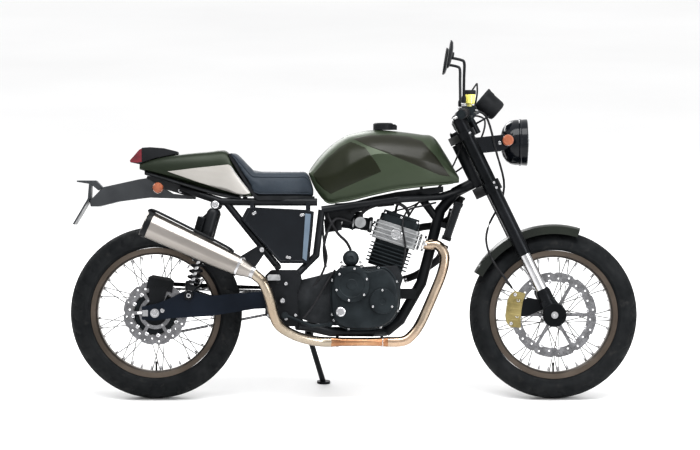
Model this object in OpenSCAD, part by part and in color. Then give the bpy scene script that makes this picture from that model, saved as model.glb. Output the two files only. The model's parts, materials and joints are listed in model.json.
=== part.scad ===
// Cafe racer motorcycle with a single-sided exhaust, parked on its side stand.
// Every module is drawn on the upright machine, with X forward from the rear axle,
// Y to the rider's left and Z up from the ground; parked() then leans the whole of it.

/* [Chassis] */
// Distance between the two axles
wheelbase = 1420; // [1380:5:1470]
// Angle of the steering axis from vertical
rake = 26; // [24:0.5:28]
// Distance from the steering axis forward to the fork legs
fork_offset = 35; // [28:1:42]
// Distance between the centres of the two fork legs
fork_spread = 200; // [190:2:220]
// Lean of the parked machine onto its side stand
lean = 9.5; // [8:0.5:12]

/* [Wheels] */
// Outside radius of the front tyre
front_tyre_r = 300; // [290:1:306]
// Outside radius of the rear tyre
rear_tyre_r = 307; // [300:1:310]
// Width of the front tyre
front_tyre_w = 120; // [100:1:124]
// Width of the rear tyre
rear_tyre_w = 130; // [110:1:136]
// Radius of the tread's crown, the same on both tyres
crown_r = 65; // [60:1:80]
// Number of spokes in each wheel
spokes = 36; // [24:4:40]
// Diameter of a spoke
spoke_d = 3.4; // [2.5:0.1:4]
// Radius of the front brake disc
front_disc_r = 152; // [140:1:156]
// Radius of the rear brake disc
rear_disc_r = 114; // [105:1:120]
// Thickness of a brake disc
disc_t = 5; // [4:0.5:6]
// Angle that each spoke leans around the wheel
spoke_turn = 34; // [28:1:40]

/* [Axles] */
// Diameter of the front axle
front_axle_d = 17; // [15:1:20]
// Diameter of the rear axle
rear_axle_d = 20; // [17:1:22]
// Diameter of the hole through each axle
axle_bore_d = 10; // [8:0.5:11]

/* [Fork and bars] */
// Diameter of the fork's outer tubes
fork_outer_d = 50; // [46:1:54]
// Diameter of the fork's sliding tubes
fork_inner_d = 41; // [37:1:43]
// Diameter of the handlebar tube
bar_d = 22; // [22:0.2:25.4]
// Width of the handlebar over its tube ends
bar_w = 760; // [700:10:820]
// Diameter of a grip
grip_d = 34; // [30:1:38]
// Diameter of the headlight shell
headlight_d = 165; // [150:1:180]
// Diameter of the instrument
dial_d = 86; // [76:1:96]
// Diameter of a mirror
mirror_d = 100; // [90:1:110]

/* [Frame] */
// Diameter of the front down tube
down_tube_d = 38; // [34:1:42]
// Diameter of the frame's main tubes
main_tube_d = 30; // [26:1:32]
// Diameter of the seat tubes
seat_tube_d = 24; // [20:1:28]
// Thickness of a swingarm arm
arm_t = 22; // [18:1:26]
// Distance from the middle plane to the inner face of a swingarm arm
arm_y = 104; // [102:1:106]

/* [Drive and exhaust] */
// Pitch radius of the rear sprocket
rear_sprocket_r = 85; // [80:1:88]
// Pitch radius of the front sprocket
front_sprocket_r = 28.5; // [26:0.5:32]
// Distance of the chain from the middle plane
chain_y = 88; // [86:1:90]
// Width of the chain over its pins
chain_w = 15; // [12:1:17]
// Diameter of the exhaust pipe
pipe_d = 36; // [32:1:38]
// Diameter of the silencer at its rear end
silencer_d = 98; // [90:1:104]

/* [Body] */
// Half width of the tank at its widest
tank_half = 138; // [125:1:145]
// Half width of the seat at its widest
seat_half = 124; // [112:1:130]
// Thickness of the side panels
panel_t = 5; // [3:0.5:7]
// Diameter of the fuel cap
cap_d = 72; // [64:1:78]
// Diameter of the side stand's foot
stand_foot_d = 48; // [36:1:60]
// Distance between the two holes in the plate holder
plate_hole_gap = 120; // [100:5:140]
// Diameter of the holes in the plate holder
plate_hole_d = 7; // [5:0.5:8]

/* [Hidden] */
$fn = 48;

// Clearances
seat_gap = 0.3;      // between soft or curved pieces and what they rest on
pin_gap = 0.05;      // radial, a shaft in its bore
spin_gap = 0.5;      // beside a turning part on its axle
chain_gap = 1.5;     // between the rear sprocket and the inside of the chain
brake_gap = 5;       // on each side of a disc in its caliper
head_gap = 3;        // between the frame's head and each yoke
belly = 0.8;         // how far a lofted body's underside hangs below its edges
knuckle = 0.4;       // how far a bend's ball stands out of its tube

// Wheels
rim_lip_t = 6;
front_rim_r = 229;
rear_rim_r = 232;
rim_floor_t = 7;
flange_y = 30;
flange_step = 10;
front_hub_half = 66;
rear_hub_half = 62;
disc_gap_y = 59;
rear_disc_y = 83;
carrier_r = 60;
sprocket_t = 7;
chain_h = 12;

// Places
engine_out = [510, 350];
pivot = [454, 352];
pivot_tube_r = 17;
undertray_half = 44;
tank_pad_z = 755.6;
seat_pad_z = 718.8;
cowl_pad_z = 721.5;
plate_slope = 30.6;
plate_low = [-294, 624];
plate_holder_t = 6;
plate_half = 90;
plate_hole_up = 46;
lug_y = 73;
lug_w = 54;
lug_r = 36;
yoke_low = [489, 527];
yoke_top = [700, 728];
fork_top = 774;
fork_outer_low = 239;
fork_lug_low = 98;
stem_d = 30;
head_d = 54;
plate_y = 129;
plate_t = 10;
rail_y = 95;
seat_rail_y = 105;
shock_y = 138;
silencer_y = -217;
shock_top = [215, 692];
shock_low = [121, 370];
shock_stud_r = 9;
stand_pivot = [545, 124, 222];
stand_out = [0.22, 0.62, -0.755];
stand_folded = [-0.97, 0.06, -0.02];
stand_pin_d = 12;
stand_eye_r = 16;
stand_eye_h = 22;

// Park the machine: lean it to the left about the tyres' crowns, and put the ground at z = 0
origin_x = 706.5;
origin_y = 171.5;
lift = crown_r * (1 - cos(lean));
module parked() {
    translate([-origin_x, -origin_y, lift]) rotate([-lean, 0, 0]) children();
}

// Height of the parked ground in the upright frame, at a distance y to the left
function ground_z(y) = (y * sin(lean) - lift) / cos(lean);

function unit(v) = v / norm(v);

// The side stand reaches from its pivot to the parked ground
stand_d = unit(stand_out);
stand_axis = unit(cross(stand_d, unit(stand_folded)));
stand_len = (stand_pivot.z - ground_z(stand_pivot.y)) / (stand_d.y * tan(lean) - stand_d.z);
stand_foot = stand_pivot + stand_len * stand_d;

module mirrored() {
    children();
    mirror([0, 1, 0]) children();
}

// Round bar from point a to point b
module rod(a, b, r) {
    d = b - a;
    translate(a)
        rotate([0, acos(d.z / norm(d)), atan2(d.y, d.x)])
            cylinder(h = norm(d), r = r);
}

// Round bar through a list of points, with round joints
module bar_run(points, r) {
    for (i = [0:len(points) - 2]) rod(points[i], points[i + 1], r);
    for (i = [1:len(points) - 2]) translate(points[i]) sphere(r = r + knuckle);
}

// Cylinder along Y, centred at x, z
module disc_y(x, z, r, y0, y1) {
    translate([x, y1, z]) rotate([90, 0, 0]) cylinder(h = y1 - y0, r = r);
}

// Flat plate in the XZ plane between y0 and y1
module plate_xz(y0, y1) {
    translate([0, y1, 0]) rotate([90, 0, 0]) linear_extrude(y1 - y0) children();
}

// Ring turned about a wheel's axle at x, z, from a profile of [radius, y] points
module turned(x, z) {
    translate([x, 0, z]) rotate([90, 0, 0]) rotate_extrude($fn = 96) children();
}

// Coordinates along the fork: origin at the front axle, Z up the steering axis
module in_fork() {
    translate([wheelbase, 0, front_tyre_r]) rotate([0, -rake, 0]) children();
}
function fork_point(x, y, z) = [
    wheelbase + x * cos(rake) - z * sin(rake),
    y,
    front_tyre_r + x * sin(rake) + z * cos(rake)
];

// Smooth curve through rows of numbers
function blend_row(a, b, c, d, t) = 0.5 * (
    2 * b + (c - a) * t + (2 * a - 5 * b + 4 * c - d) * t * t
    + (3 * b - a - 3 * c + d) * t * t * t
);
function smooth_rows(rows, n) = [
    for (i = [0:len(rows) - 2])
        for (k = [0:n - 1])
            blend_row(rows[max(i - 1, 0)], rows[i], rows[i + 1],
                      rows[min(i + 2, len(rows) - 1)], k / n),
    rows[len(rows) - 1]
];

// Skin over a list of rings with the same number of points, closed at both ends
module loft(rings) {
    m = len(rings[0]);
    n = len(rings);
    points = [for (ring = rings) each ring];
    sides = [
        for (i = [0:n - 2])
            for (j = [0:m - 1])
                each [
                    [i * m + j, (i + 1) * m + j, (i + 1) * m + (j + 1) % m],
                    [i * m + j, (i + 1) * m + (j + 1) % m, i * m + (j + 1) % m]
                ]
    ];
    first = [for (j = [0:m - 1]) j];
    last = [for (j = [0:m - 1]) n * m - 1 - j];
    polyhedron(points, concat(sides, [first, last]));
}

// Quadratic curve from a to b with control point c
function arc_to(a, c, b, n) = [
    for (k = [0:n]) let (t = k / n) (1 - t) * (1 - t) * a + 2 * t * (1 - t) * c + t * t * b
];

// Hose: a tube of `sides` sides swept along points
function sweep_side(d) = unit(cross(d, abs(d.z) < 0.9 * norm(d) ? [0, 0, 1] : [0, 1, 0]));
module hose(points, r, sides = 8) {
    n = len(points);
    rings = [
        for (i = [0:n - 1])
            let (d = unit(points[min(i + 1, n - 1)] - points[max(i - 1, 0)]),
                 u = sweep_side(d), v = cross(d, u))
                [for (k = [0:sides - 1])
                    points[i] + r * cos(360 * k / sides) * u + r * sin(360 * k / sides) * v]
    ];
    loft(rings);
}

// ---------------------------------------------------------------- wheels

// Tyre section: [radius from the axle, y], crown arc down to the beads
module tyre_section(tyre_r, tyre_w, rim_r) {
    half = tyre_w / 2;
    edge = asin(min(1, half / crown_r));
    steps = 9;
    crown = [
        for (i = [-steps:steps])
            let (a = edge * i / steps) [tyre_r - crown_r + crown_r * cos(a), crown_r * sin(a)]
    ];
    bead = half - 16;
    side = [[rim_r + 10, half - 2], [rim_r + 1.5, half - 8], [rim_r + 1.5, bead], [rim_r - 14, bead]];
    polygon(concat(
        crown,
        side,
        [for (i = [len(side) - 1:-1:0]) [side[i][0], -side[i][1]]]
    ));
}

// Rim section: two lips outside the beads and a floor between them
module rim_section(tyre_w, rim_r) {
    inner = tyre_w / 2 - 16 + seat_gap;
    outer = inner + rim_lip_t;
    floor_r = rim_r - 14 - seat_gap;
    low = rim_r - 24;
    polygon([
        [rim_r, outer], [rim_r, inner], [floor_r, inner], [floor_r, -inner], [rim_r, -inner],
        [rim_r, -outer], [floor_r - 3, -outer], [low, -outer + 14], [low, outer - 14],
        [floor_r - 3, outer]
    ]);
}

// Crossed spokes from the hub's flanges to the rim
module spoke_set(x, z, flange_r, rim_r) {
    per_side = spokes / 2;
    end_r = rim_r - 24 - seat_gap - 0.4;
    for (side = [-1, 1])
        for (i = [0:per_side - 1]) {
            way = i % 2 == 0 ? 1 : -1;
            hub_a = i * 360 / per_side;
            rim_a = hub_a + way * spoke_turn + (side > 0 ? 180 / per_side : 0);
            hub_y = side * (flange_y + way * flange_step / 2);
            start = (flange_r + seat_gap + 1) * [cos(hub_a), 0, sin(hub_a)] + [x, hub_y, z];
            end = end_r * [cos(rim_a), 0, sin(rim_a)] + [x, side * (9 + 3 * way), z];
            rod(start, end, spoke_d / 2);
        }
}

module front_tyre() {
    color("#1c1e21") parked()
        turned(wheelbase, front_tyre_r) tyre_section(front_tyre_r, front_tyre_w, front_rim_r);
}

module front_rim() {
    color("#5c4c40") parked()
        turned(wheelbase, front_tyre_r) rim_section(front_tyre_w, front_rim_r);
}

module front_spokes() {
    color("#c9cbcc") parked() spoke_set(wheelbase, front_tyre_r, 42, front_rim_r);
}

module front_hub() {
    color("#25272a") parked() difference() {
        union() {
            disc_y(wheelbase, front_tyre_r, 27, -front_hub_half, front_hub_half);
            mirrored() disc_y(wheelbase, front_tyre_r, 42, flange_y - 9, flange_y + 9);
        }
        disc_y(wheelbase, front_tyre_r, front_axle_d / 2 + pin_gap, -front_hub_half - 1,
               front_hub_half + 1);
    }
}

// Drilled ring with a scalloped edge and slim arms to its hub
module disc_outline(r, band, scallops, hub_r, arms) {
    difference() {
        circle(r = r, $fn = 96);
        circle(r = r - band, $fn = 96);
        for (i = [0:scallops - 1])
            rotate(i * 360 / scallops) translate([r + 6, 0]) circle(r = 11);
        for (i = [0:2 * scallops - 1])
            rotate((i + 0.5) * 180 / scallops) translate([r - band * (0.35 + 0.3 * (i % 2)), 0])
                circle(r = 3.5);
    }
    difference() {
        union() {
            circle(r = hub_r);
            for (i = [0:arms - 1])
                rotate(i * 360 / arms) translate([0, -6]) square([r - band + 3, 12]);
        }
        circle(r = hub_r - 14);
    }
}

module front_disc() {
    color("#9a9da0") parked()
        translate([wheelbase, -disc_gap_y, front_tyre_r]) rotate([90, 0, 0])
            linear_extrude(disc_t) disc_outline(front_disc_r, 34, 12, 42, 6);
}

module rear_tyre() {
    color("#1c1e21") parked()
        turned(0, rear_tyre_r) tyre_section(rear_tyre_r, rear_tyre_w, rear_rim_r);
}

module rear_rim() {
    color("#5c4c40") parked() turned(0, rear_tyre_r) rim_section(rear_tyre_w, rear_rim_r);
}

module rear_spokes() {
    color("#c9cbcc") parked() spoke_set(0, rear_tyre_r, 58, rear_rim_r);
}

module rear_hub() {
    color("#232529") parked() difference() {
        union() {
            disc_y(0, rear_tyre_r, 40, -rear_hub_half, rear_hub_half);
            mirrored() disc_y(0, rear_tyre_r, 58, flange_y - 9, flange_y + 9);
            disc_y(0, rear_tyre_r, carrier_r, rear_hub_half, chain_y - sprocket_t / 2);
            disc_y(0, rear_tyre_r, carrier_r + 3, -rear_disc_y, -rear_hub_half);
            disc_y(0, rear_tyre_r, 18, -arm_y + 10 + spin_gap, arm_y - 4);
        }
        disc_y(0, rear_tyre_r, rear_axle_d / 2 + pin_gap, -arm_y, arm_y);
    }
}

module rear_disc() {
    color("#a3a6a9") parked()
        translate([0, -rear_disc_y, rear_tyre_r]) rotate([90, 0, 0]) linear_extrude(disc_t)
            disc_outline(rear_disc_r, 34, 12, 58, 6);
}

module rear_sprocket() {
    color("#8d8f92") parked() difference() {
        disc_y(0, rear_tyre_r, rear_sprocket_r - chain_h / 2 - chain_gap,
               chain_y - sprocket_t / 2, chain_y + sprocket_t / 2);
        disc_y(0, rear_tyre_r, 20, chain_y - sprocket_t, chain_y + sprocket_t);
        for (i = [0:4])
            rotate_about(0, rear_tyre_r, i * 72)
                disc_y(60, rear_tyre_r, 9, chain_y - sprocket_t, chain_y + sprocket_t);
    }
}

// Turn children about an axis along Y through x, z
module rotate_about(x, z, a) {
    translate([x, 0, z]) rotate([0, a, 0]) translate([-x, 0, -z]) children();
}

// ---------------------------------------------------------------- steering

module yoke(z0, z1, nose) {
    leg_y = fork_spread / 2;
    translate([0, 0, z0]) linear_extrude(z1 - z0) difference() {
        hull() {
            for (s = [-1, 1]) translate([0, s * leg_y]) circle(r = fork_outer_d / 2 + 8, $fn = 32);
            translate([-fork_offset, 0]) circle(r = head_d / 2 + nose, $fn = 32);
        }
        for (s = [-1, 1]) translate([0, s * leg_y]) circle(d = fork_outer_d + 2 * pin_gap);
    }
}

module yokes() {
    color("#26282b") parked() in_fork() {
        yoke(yoke_low[0], yoke_low[1], 4);
        yoke(yoke_top[0], yoke_top[1], 2);
        translate([-fork_offset, 0, yoke_low[1] - 1])
            cylinder(h = yoke_top[0] - yoke_low[1] + 2, d = stem_d);
        translate([-fork_offset, 0, yoke_top[1]]) cylinder(h = 10, r = 17);
        for (s = [-1, 1])
            translate([riser_x, s * 46, yoke_top[0]]) cylinder(h = yoke_top[1] - yoke_top[0] + riser_h, r = 14);
    }
}

module fork_tubes() {
    color("#1d1f22") parked() in_fork() for (s = [-1, 1])
        translate([0, s * fork_spread / 2, 0]) {
            translate([0, 0, fork_outer_low])
                cylinder(h = fork_top - fork_outer_low, d = fork_outer_d);
            translate([0, 0, fork_top]) cylinder(h = 6, d = fork_outer_d - 8);
        }
}

module fork_sliders() {
    color("#3a3c40") parked() in_fork() for (s = [-1, 1])
        translate([0, s * fork_spread / 2, 0]) difference() {
            union() {
                translate([0, 0, fork_lug_low])
                    cylinder(h = fork_outer_low - fork_lug_low, d = fork_inner_d);
                cylinder(h = fork_lug_low, r = 26);
                rotate([90, 0, 0]) cylinder(h = lug_w, r = lug_r, center = true);
            }
            rotate([90, 0, 0]) cylinder(h = lug_w + 2, d = front_axle_d + 8 + 2 * pin_gap, center = true);
        }
}

module front_axle() {
    collar = front_hub_half + spin_gap;
    end = lug_y + lug_w + 3;
    color("#cfd1d3") parked() difference() {
        union() {
            disc_y(wheelbase, front_tyre_r, front_axle_d / 2, -end, end);
            mirrored() disc_y(wheelbase, front_tyre_r, front_axle_d / 2 + 4, collar, end);
        }
        disc_y(wheelbase, front_tyre_r, axle_bore_d / 2, -end - 1, end + 1);
    }
}

mudguard_in = front_tyre_r + 14;
mudguard_out = mudguard_in + 10;
mudguard_half = front_tyre_w / 2 + 12;

module front_mudguard() {
    inner = mudguard_half - 4;
    color("#2c332c") parked() translate([wheelbase, 0, front_tyre_r]) rotate([90, 0, 0]) {
        rotate([0, 0, 73]) rotate_extrude(angle = 79, $fn = 96) polygon([
            [mudguard_in - 26, mudguard_half], [mudguard_out - 8, mudguard_half],
            [mudguard_out - 2, mudguard_half - 14], [mudguard_out, 0],
            [mudguard_out - 2, 14 - mudguard_half], [mudguard_out - 8, -mudguard_half],
            [mudguard_in - 26, -mudguard_half], [mudguard_in - 26, -inner],
            [mudguard_in - 8, -inner], [mudguard_in - 3, 18 - inner], [mudguard_in - 1, 0],
            [mudguard_in - 3, inner - 18], [mudguard_in - 8, inner], [mudguard_in - 26, inner]
        ]);
    }
    color("#2c332c") parked() in_fork() mirrored()
        translate([-9, mudguard_half - 1, fork_outer_low + 58])
            cube([18, fork_spread / 2 - fork_outer_d / 2 - mudguard_half + 1, 30]);
}

// Caliper over the edge of a disc, in wheel coordinates: centre at radius r, angle a
module caliper_block(x, z, a, r0, r1, length, y_in, y_out, disc_r, disc_y0, disc_y1) {
    rotate_about(x, z, a) difference() {
        hull() {
            translate([x + r0, y_out, z - length / 2]) cube([r1 - r0 - 10, y_in - y_out, length]);
            translate([x + r0, y_out + 8, z - length / 2 + 14])
                cube([r1 - r0, y_in - y_out - 16, length - 28]);
        }
        translate([x + r0 - 1, disc_y0 - brake_gap, z - length])
            cube([disc_r + brake_gap + 1 - r0, disc_y1 - disc_y0 + 2 * brake_gap, 2 * length]);
    }
}

module front_caliper() {
    color("#9a8a4c") parked() {
        caliper_block(wheelbase, front_tyre_r, 188, 112, 172, 130, -38, -94,
                      front_disc_r, -disc_gap_y - disc_t, -disc_gap_y);
        difference() {
            plate_xz(-90, -80) polygon([
                [wheelbase - 150, front_tyre_r + 45], [wheelbase - 44, front_tyre_r + 74],
                [wheelbase - 36, front_tyre_r + 20], [wheelbase - 120, front_tyre_r - 10],
                [wheelbase - 150, front_tyre_r - 20]
            ]);
            in_fork() translate([0, -fork_spread / 2, 0]) cylinder(h = 140, r = 26 + pin_gap);
            disc_y(wheelbase, front_tyre_r, lug_r + pin_gap, -lug_y - lug_w, -lug_y);
        }
    }
}

// Held all the way, from the lever down to the caliper, with X measured from the front axle
brake_hose_points = [
    [-283.5, -205, 1020], [-266, -192, 1019], [-246, -160, 1006], [-230, -132, 970],
    [-218, -118, 925], [-204, -100, 870], [-184, -74, 805], [-177, -54, 755], [-188, -50, 700],
    [-209, -56, 664], [-229, -70, 628], [-241, -84, 588], [-241, -92, 552], [-230, -98, 516],
    [-211, -102, 480], [-190, -104, 450], [-170, -100, 424], [-157, -92, 406], [-151, -84, 396]
];
module front_brake_hose() {
    color("#17181a") parked() translate([wheelbase, 0, 0]) hose(smooth_rows(brake_hose_points, 2), 4, 8);
}

headlight_z = 915;
headlight_front = wheelbase - 94;
module headlight() {
    r = headlight_d / 2;
    color("#1f2124") parked() {
        translate([headlight_front - 96, 0, headlight_z]) rotate([0, 90, 0]) {
            difference() {
                union() {
                    translate([0, 0, 30]) cylinder(h = 56, r = r);
                    cylinder(h = 30, r1 = r - 22, r2 = r);
                    translate([0, 0, 86]) cylinder(h = 10, r1 = r + 2, r2 = r - 3);
                }
                translate([0, 0, 82]) cylinder(h = 20, r = r - 8);
            }
            translate([0, 0, 76]) cylinder(h = 12, r = r - 8 - seat_gap);
        }
        difference() {
            mirrored() plate_xz(r, r + 5) translate([headlight_front, 0]) polygon([
                [-216, 925], [-216, 890], [-176, 880], [-86, 890], [-64, 905], [-64, 930],
                [-86, 942], [-176, 930]
            ]);
            in_fork() for (s = [-1, 1]) translate([0, s * fork_spread / 2, 0])
                cylinder(h = fork_top, d = fork_outer_d + 2 * pin_gap);
        }
    }
}

dial_axis = 40.5;
dial_c = [wheelbase - 227, 0, 1049];
module instrument() {
    color("#1b1c1f") parked() {
        translate(dial_c) rotate([0, -90 + dial_axis, 0]) {
            translate([0, 0, -41]) cylinder(h = 76, r1 = dial_d / 2 - 6, r2 = dial_d / 2);
            translate([0, 0, 35]) difference() {
                cylinder(h = 6, r = dial_d / 2);
                translate([0, 0, 2]) cylinder(h = 6, r = dial_d / 2 - 6);
            }
        }
        mirrored() {
            rod(dial_c + [3, 18, -27], fork_point(24, 20, yoke_top[1] + 6.5), 5);
            in_fork() translate([24, 20, yoke_top[1] + seat_gap]) cylinder(h = 8, r = 7);
        }
    }
}

riser_x = fork_outer_d / 2 + 13;
riser_h = 20;
bar_up = 41;
bar_c = fork_point(riser_x, 0, yoke_top[1] + bar_up);
grip_x = wheelbase - 326;
// Half of the handlebar's centre line, from the clamp to the grip's end
bar_points = [
    bar_c, bar_c + [0, 95, 0], bar_c + [-2, 130, 8], [grip_x + 4, 178, bar_c.z + 11],
    [grip_x, 256, bar_c.z + 8], [grip_x - 12, bar_w / 2, bar_c.z - 2]
];
module handlebar() {
    color("#222427") parked() {
        mirrored() bar_run(bar_points, bar_d / 2);
        mirrored() difference() {
            union() {
                disc_y(bar_c.x, bar_c.z, 19, 34, 58);
                rod(fork_point(riser_x, 46, yoke_top[1] + riser_h + pin_gap),
                    fork_point(riser_x, 46, yoke_top[1] + bar_up), 13);
            }
            disc_y(bar_c.x, bar_c.z, bar_d / 2 - 1, 30, 62);
        }
        mirrored() rod(bar_points[5] + [0, -4, 0], bar_points[5] + [-0.7, 14, -0.6], 15);
    }
}

module grips() {
    a = bar_points[4];
    b = bar_points[5];
    d = unit(b - a);
    color("#16171a") parked() mirrored() difference() {
        union() {
            rod(a + 8 * d, b - 5 * d, grip_d / 2);
            rod(a + 4 * d, a + 9 * d, grip_d / 2 + 3);
        }
        rod(a - 5 * d, b + 5 * d, bar_d / 2 + pin_gap);
    }
}

// Perch, switch box and lever of one hand
perch_top = bar_c.z + 30;
module hand_lever() {
    a = bar_points[3];
    b = bar_points[4];
    d = unit(b - a);
    difference() {
        union() {
            rod(a + 10 * d, a + 70 * d, 20);
            translate([grip_x - 6, 192, perch_top - 30]) cube([46, 54, 30]);
        }
        rod(a - 20 * d, b + 20 * d, bar_d / 2 + pin_gap);
    }
    bar_run([[grip_x + 34, 222, bar_c.z + 12], [grip_x + 48, 262, bar_c.z + 8],
             [grip_x + 40, 320, bar_c.z + 4], [grip_x + 32, bar_w / 2 - 6, bar_c.z - 2]], 6);
}

module hand_levers() {
    color("#2a2c2f") parked() mirrored() hand_lever();
}

reservoir = [grip_x + 20, -210];
module brake_reservoir() {
    color("#d8cf5a") parked() translate([reservoir.x, reservoir.y, perch_top + seat_gap]) {
        cylinder(h = 9, r = 9);
        translate([0, 0, 8]) cylinder(h = 36, r1 = 19, r2 = 22);
        translate([0, 0, 44]) cylinder(h = 14, r = 23);
    }
}

mirror_c = [grip_x - 51, 322, 1218];
module mirrors() {
    stem = [[grip_x, 240, perch_top + seat_gap], [grip_x, 240, 1080], [grip_x, 304, 1194],
            [grip_x - 48, 316, 1206]];
    color("#232528") parked() mirrored() {
        bar_run(stem, 5);
        translate(mirror_c) rotate([0, -81, 0]) translate([0, 0, -9]) {
            cylinder(h = 7, d = mirror_d - 6);
            translate([0, 0, 6]) cylinder(h = 8, d = mirror_d);
        }
    }
}

module front_indicators() {
    color("#c96a3a") parked() mirrored() {
        x = headlight_front - 72;
        rod([x, headlight_d / 2 + 5, 921], [x, 112, 921], 7);
        rod([x, 112, 921], [x, 120, 921], 15);
        rod([x, 120, 921], [x, 148, 921], 21);
    }
}

// ---------------------------------------------------------------- chassis

head_low = yoke_low[1] + head_gap;
head_high = yoke_top[0] - head_gap;

lower_rail_points = [
    [819, 0, 237], [770, 62, 237], [622, rail_y, 239], [540, 112, 258], [505, plate_y + 4, 262]
];
module frame() {
    color("#202327") parked() difference() {
        union() {
            in_fork() translate([-fork_offset, 0, head_low])
                cylinder(h = head_high - head_low, d = head_d);
            bar_run(down_tube_points, down_tube_d / 2);
            mirrored() {
                bar_run([[1104, 6, 750], [1020, 38, 722], [860, 88, 712], [592, rail_y, 674]], main_tube_d / 2 - 2);
                bar_run(lower_rail_points, main_tube_d / 2);
                bar_run([[592, rail_y, 674], [572, 94, 512], [530, 102, 470], [502, plate_y + 2, 442]],
                        seat_tube_d / 2);
                plate_xz(plate_y, plate_y + plate_t) polygon([
                    [392, 300], [392, 440], [410, 458], [512, 458], [520, 420], [505, 380],
                    [510, 300], [524, 276], [510, 260], [440, 260]
                ]);
            }
            rod([1005, 0, 640], [940, 0, 728], 14);
            disc_y(940, 728, 12, -62, 62);
            translate([943, -30, 730]) cube([10, 60, tank_pad_z - 730]);
            translate([872 + seat_gap, -34, 356]) cube([56, 68, 36]);
            disc_y(502, 385, 10, -plate_y - 1, -102 - seat_gap);
        }
        in_fork() translate([-fork_offset, 0, head_low - head_gap])
            cylinder(h = head_high - head_low + 2 * head_gap, d = stem_d + 2 * pin_gap);
    }
}

// Tubes between the two pivot plates, the swingarm's bolt and its heads, and the engine's rear lug
module cross_tubes() {
    inside = plate_y - pin_gap;
    outside = plate_y + plate_t + pin_gap;
    color("#202327") parked() {
        disc_y(466, 288, 11, -inside, inside);
        disc_y(466, 412, 10, -inside, inside);
        translate([470, -30, 378]) cube([12 - seat_gap, 60, 36]);
        disc_y(pivot.x, pivot.y, 9, -inside, inside);
        mirrored() disc_y(pivot.x, pivot.y, 14, outside, outside + 7);
    }
}

// Pivot of the side stand: an ear over the stand's eye, and the pin through both
module stand_bracket() {
    n = stand_axis;
    ear = stand_pivot + (stand_eye_h / 2 + spin_gap) * n;
    color("#202327") parked() difference() {
        union() {
            rod(ear, ear + 9 * n, stand_eye_r);
            rod(ear + 5 * n, stand_pivot - (stand_eye_h / 2 + 3) * n, stand_pin_d / 2);
            rod(ear + 9 * n, [534, 118, 262], 8);
        }
        bar_run(lower_rail_points, main_tube_d / 2 + pin_gap);
    }
}

module subframe() {
    r = main_tube_d / 2 - 2;
    color("#202327") parked() {
        mirrored() {
            bar_run([[575, seat_rail_y, 702], [235, seat_rail_y, 703], [90, undertray_half + r, 752]], r);
            bar_run([[250, seat_rail_y, 700], [432, 112, 474], [436, plate_y + 5, 468.8]],
                    seat_tube_d / 2 - 2);
            disc_y(shock_top.x, shock_top.y, shock_stud_r - pin_gap, seat_rail_y, shock_y + 16);
            disc_y(shock_top.x, shock_top.y, shock_stud_r + 4, seat_rail_y, shock_y - 9.3);
            translate([400, 96, 705]) cube([20, 14, seat_pad_z - 705]);
            translate([312, 88, 705]) cube([12, 10, cowl_pad_z - 705]);
        }
        disc_y(560, 702, 10, -seat_rail_y, seat_rail_y);
        disc_y(235, 703, 11, -seat_rail_y, seat_rail_y);
    }
}

module swingarm() {
    color("#1e2430") parked() difference() {
        union() {
            mirrored() plate_xz(arm_y, arm_y + arm_t) polygon([
                [-46, 284], [-46, 330], [10, 342], [60, 362], [100, 384], [142, 384], [190, 368], [400, 386], [470, 380],
                [482, 352], [470, 326], [354, 322], [199, 297], [60, 289], [0, 280]
            ]);
            mirrored() disc_y(shock_low.x, shock_low.y, shock_stud_r - pin_gap, arm_y + 2, shock_y + 16);
            disc_y(348, 352, 18, -arm_y - 1, arm_y + 1);
            disc_y(pivot.x, pivot.y, pivot_tube_r, -arm_y - arm_t, arm_y + arm_t);
        }
        disc_y(pivot.x, pivot.y, 9 + pin_gap, -plate_y, plate_y);
        disc_y(0, rear_tyre_r, rear_axle_d / 2 + pin_gap, -plate_y, plate_y);
    }
}

module rear_axle() {
    end = arm_y + arm_t;
    color("#cfd1d3") parked() difference() {
        union() {
            disc_y(0, rear_tyre_r, rear_axle_d / 2, -end - 8, end + 8);
            mirrored() disc_y(0, rear_tyre_r, rear_axle_d / 2 + 6, end, end + 12);
        }
        disc_y(0, rear_tyre_r, axle_bore_d / 2, -end - 13, end + 13);
    }
}

module shock_absorbers() {
    d = unit([shock_top.x - shock_low.x, 0, shock_top.y - shock_low.y]);
    top = [shock_top.x, shock_y, shock_top.y];
    low = [shock_low.x, shock_y, shock_low.y];
    color("#1d1f22") parked() mirrored() difference() {
        union() {
            rod(low, top, 8);
            rod(low + 34 * d, low + 210 * d, 24);
            rod(top - 118 * d, top - 22 * d, 22);
            rod(low + 22 * d, low + 34 * d, 17);
            disc_y(low.x, low.z, 16, shock_y - 11, shock_y + 13);
            disc_y(top.x, top.z, 17, shock_y - 9, shock_y + 13);
            rod(top - 40 * d + [-34, 0, -6], top - 150 * d + [-34, 0, -6], 17);
            translate(top - 60 * d + [-30, -12, -8]) cube([24, 24, 30]);
        }
        disc_y(low.x, low.z, shock_stud_r, shock_y - 12, shock_y + 14);
        disc_y(top.x, top.z, shock_stud_r, shock_y - 12, shock_y + 14);
    }
}

module crankcase_body() {
    plate_xz(-102, 74) polygon([
        [482, 300], [482, 392], [524, 424], [700, 468], [860, 476], [882, 430], [872, 400],
        [872, 350], [862, 326], [836, 280], [640, 262], [560, 272]
    ]);
    plate_xz(74, 104) polygon([
        [560, 300], [560, 420], [620, 450], [700, 468], [830, 472], [866, 420], [862, 330],
        [830, 280], [640, 268]
    ]);
}

module crankcase() {
    color("#24262a") parked() {
        crankcase_body();
        disc_y(engine_out.x, engine_out.y, 12, 70, chain_y + 8);
        disc_y(engine_out.x, engine_out.y, front_sprocket_r - chain_h / 2 - seat_gap,
               chain_y - sprocket_t / 2, chain_y + sprocket_t / 2);
    }
}

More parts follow.
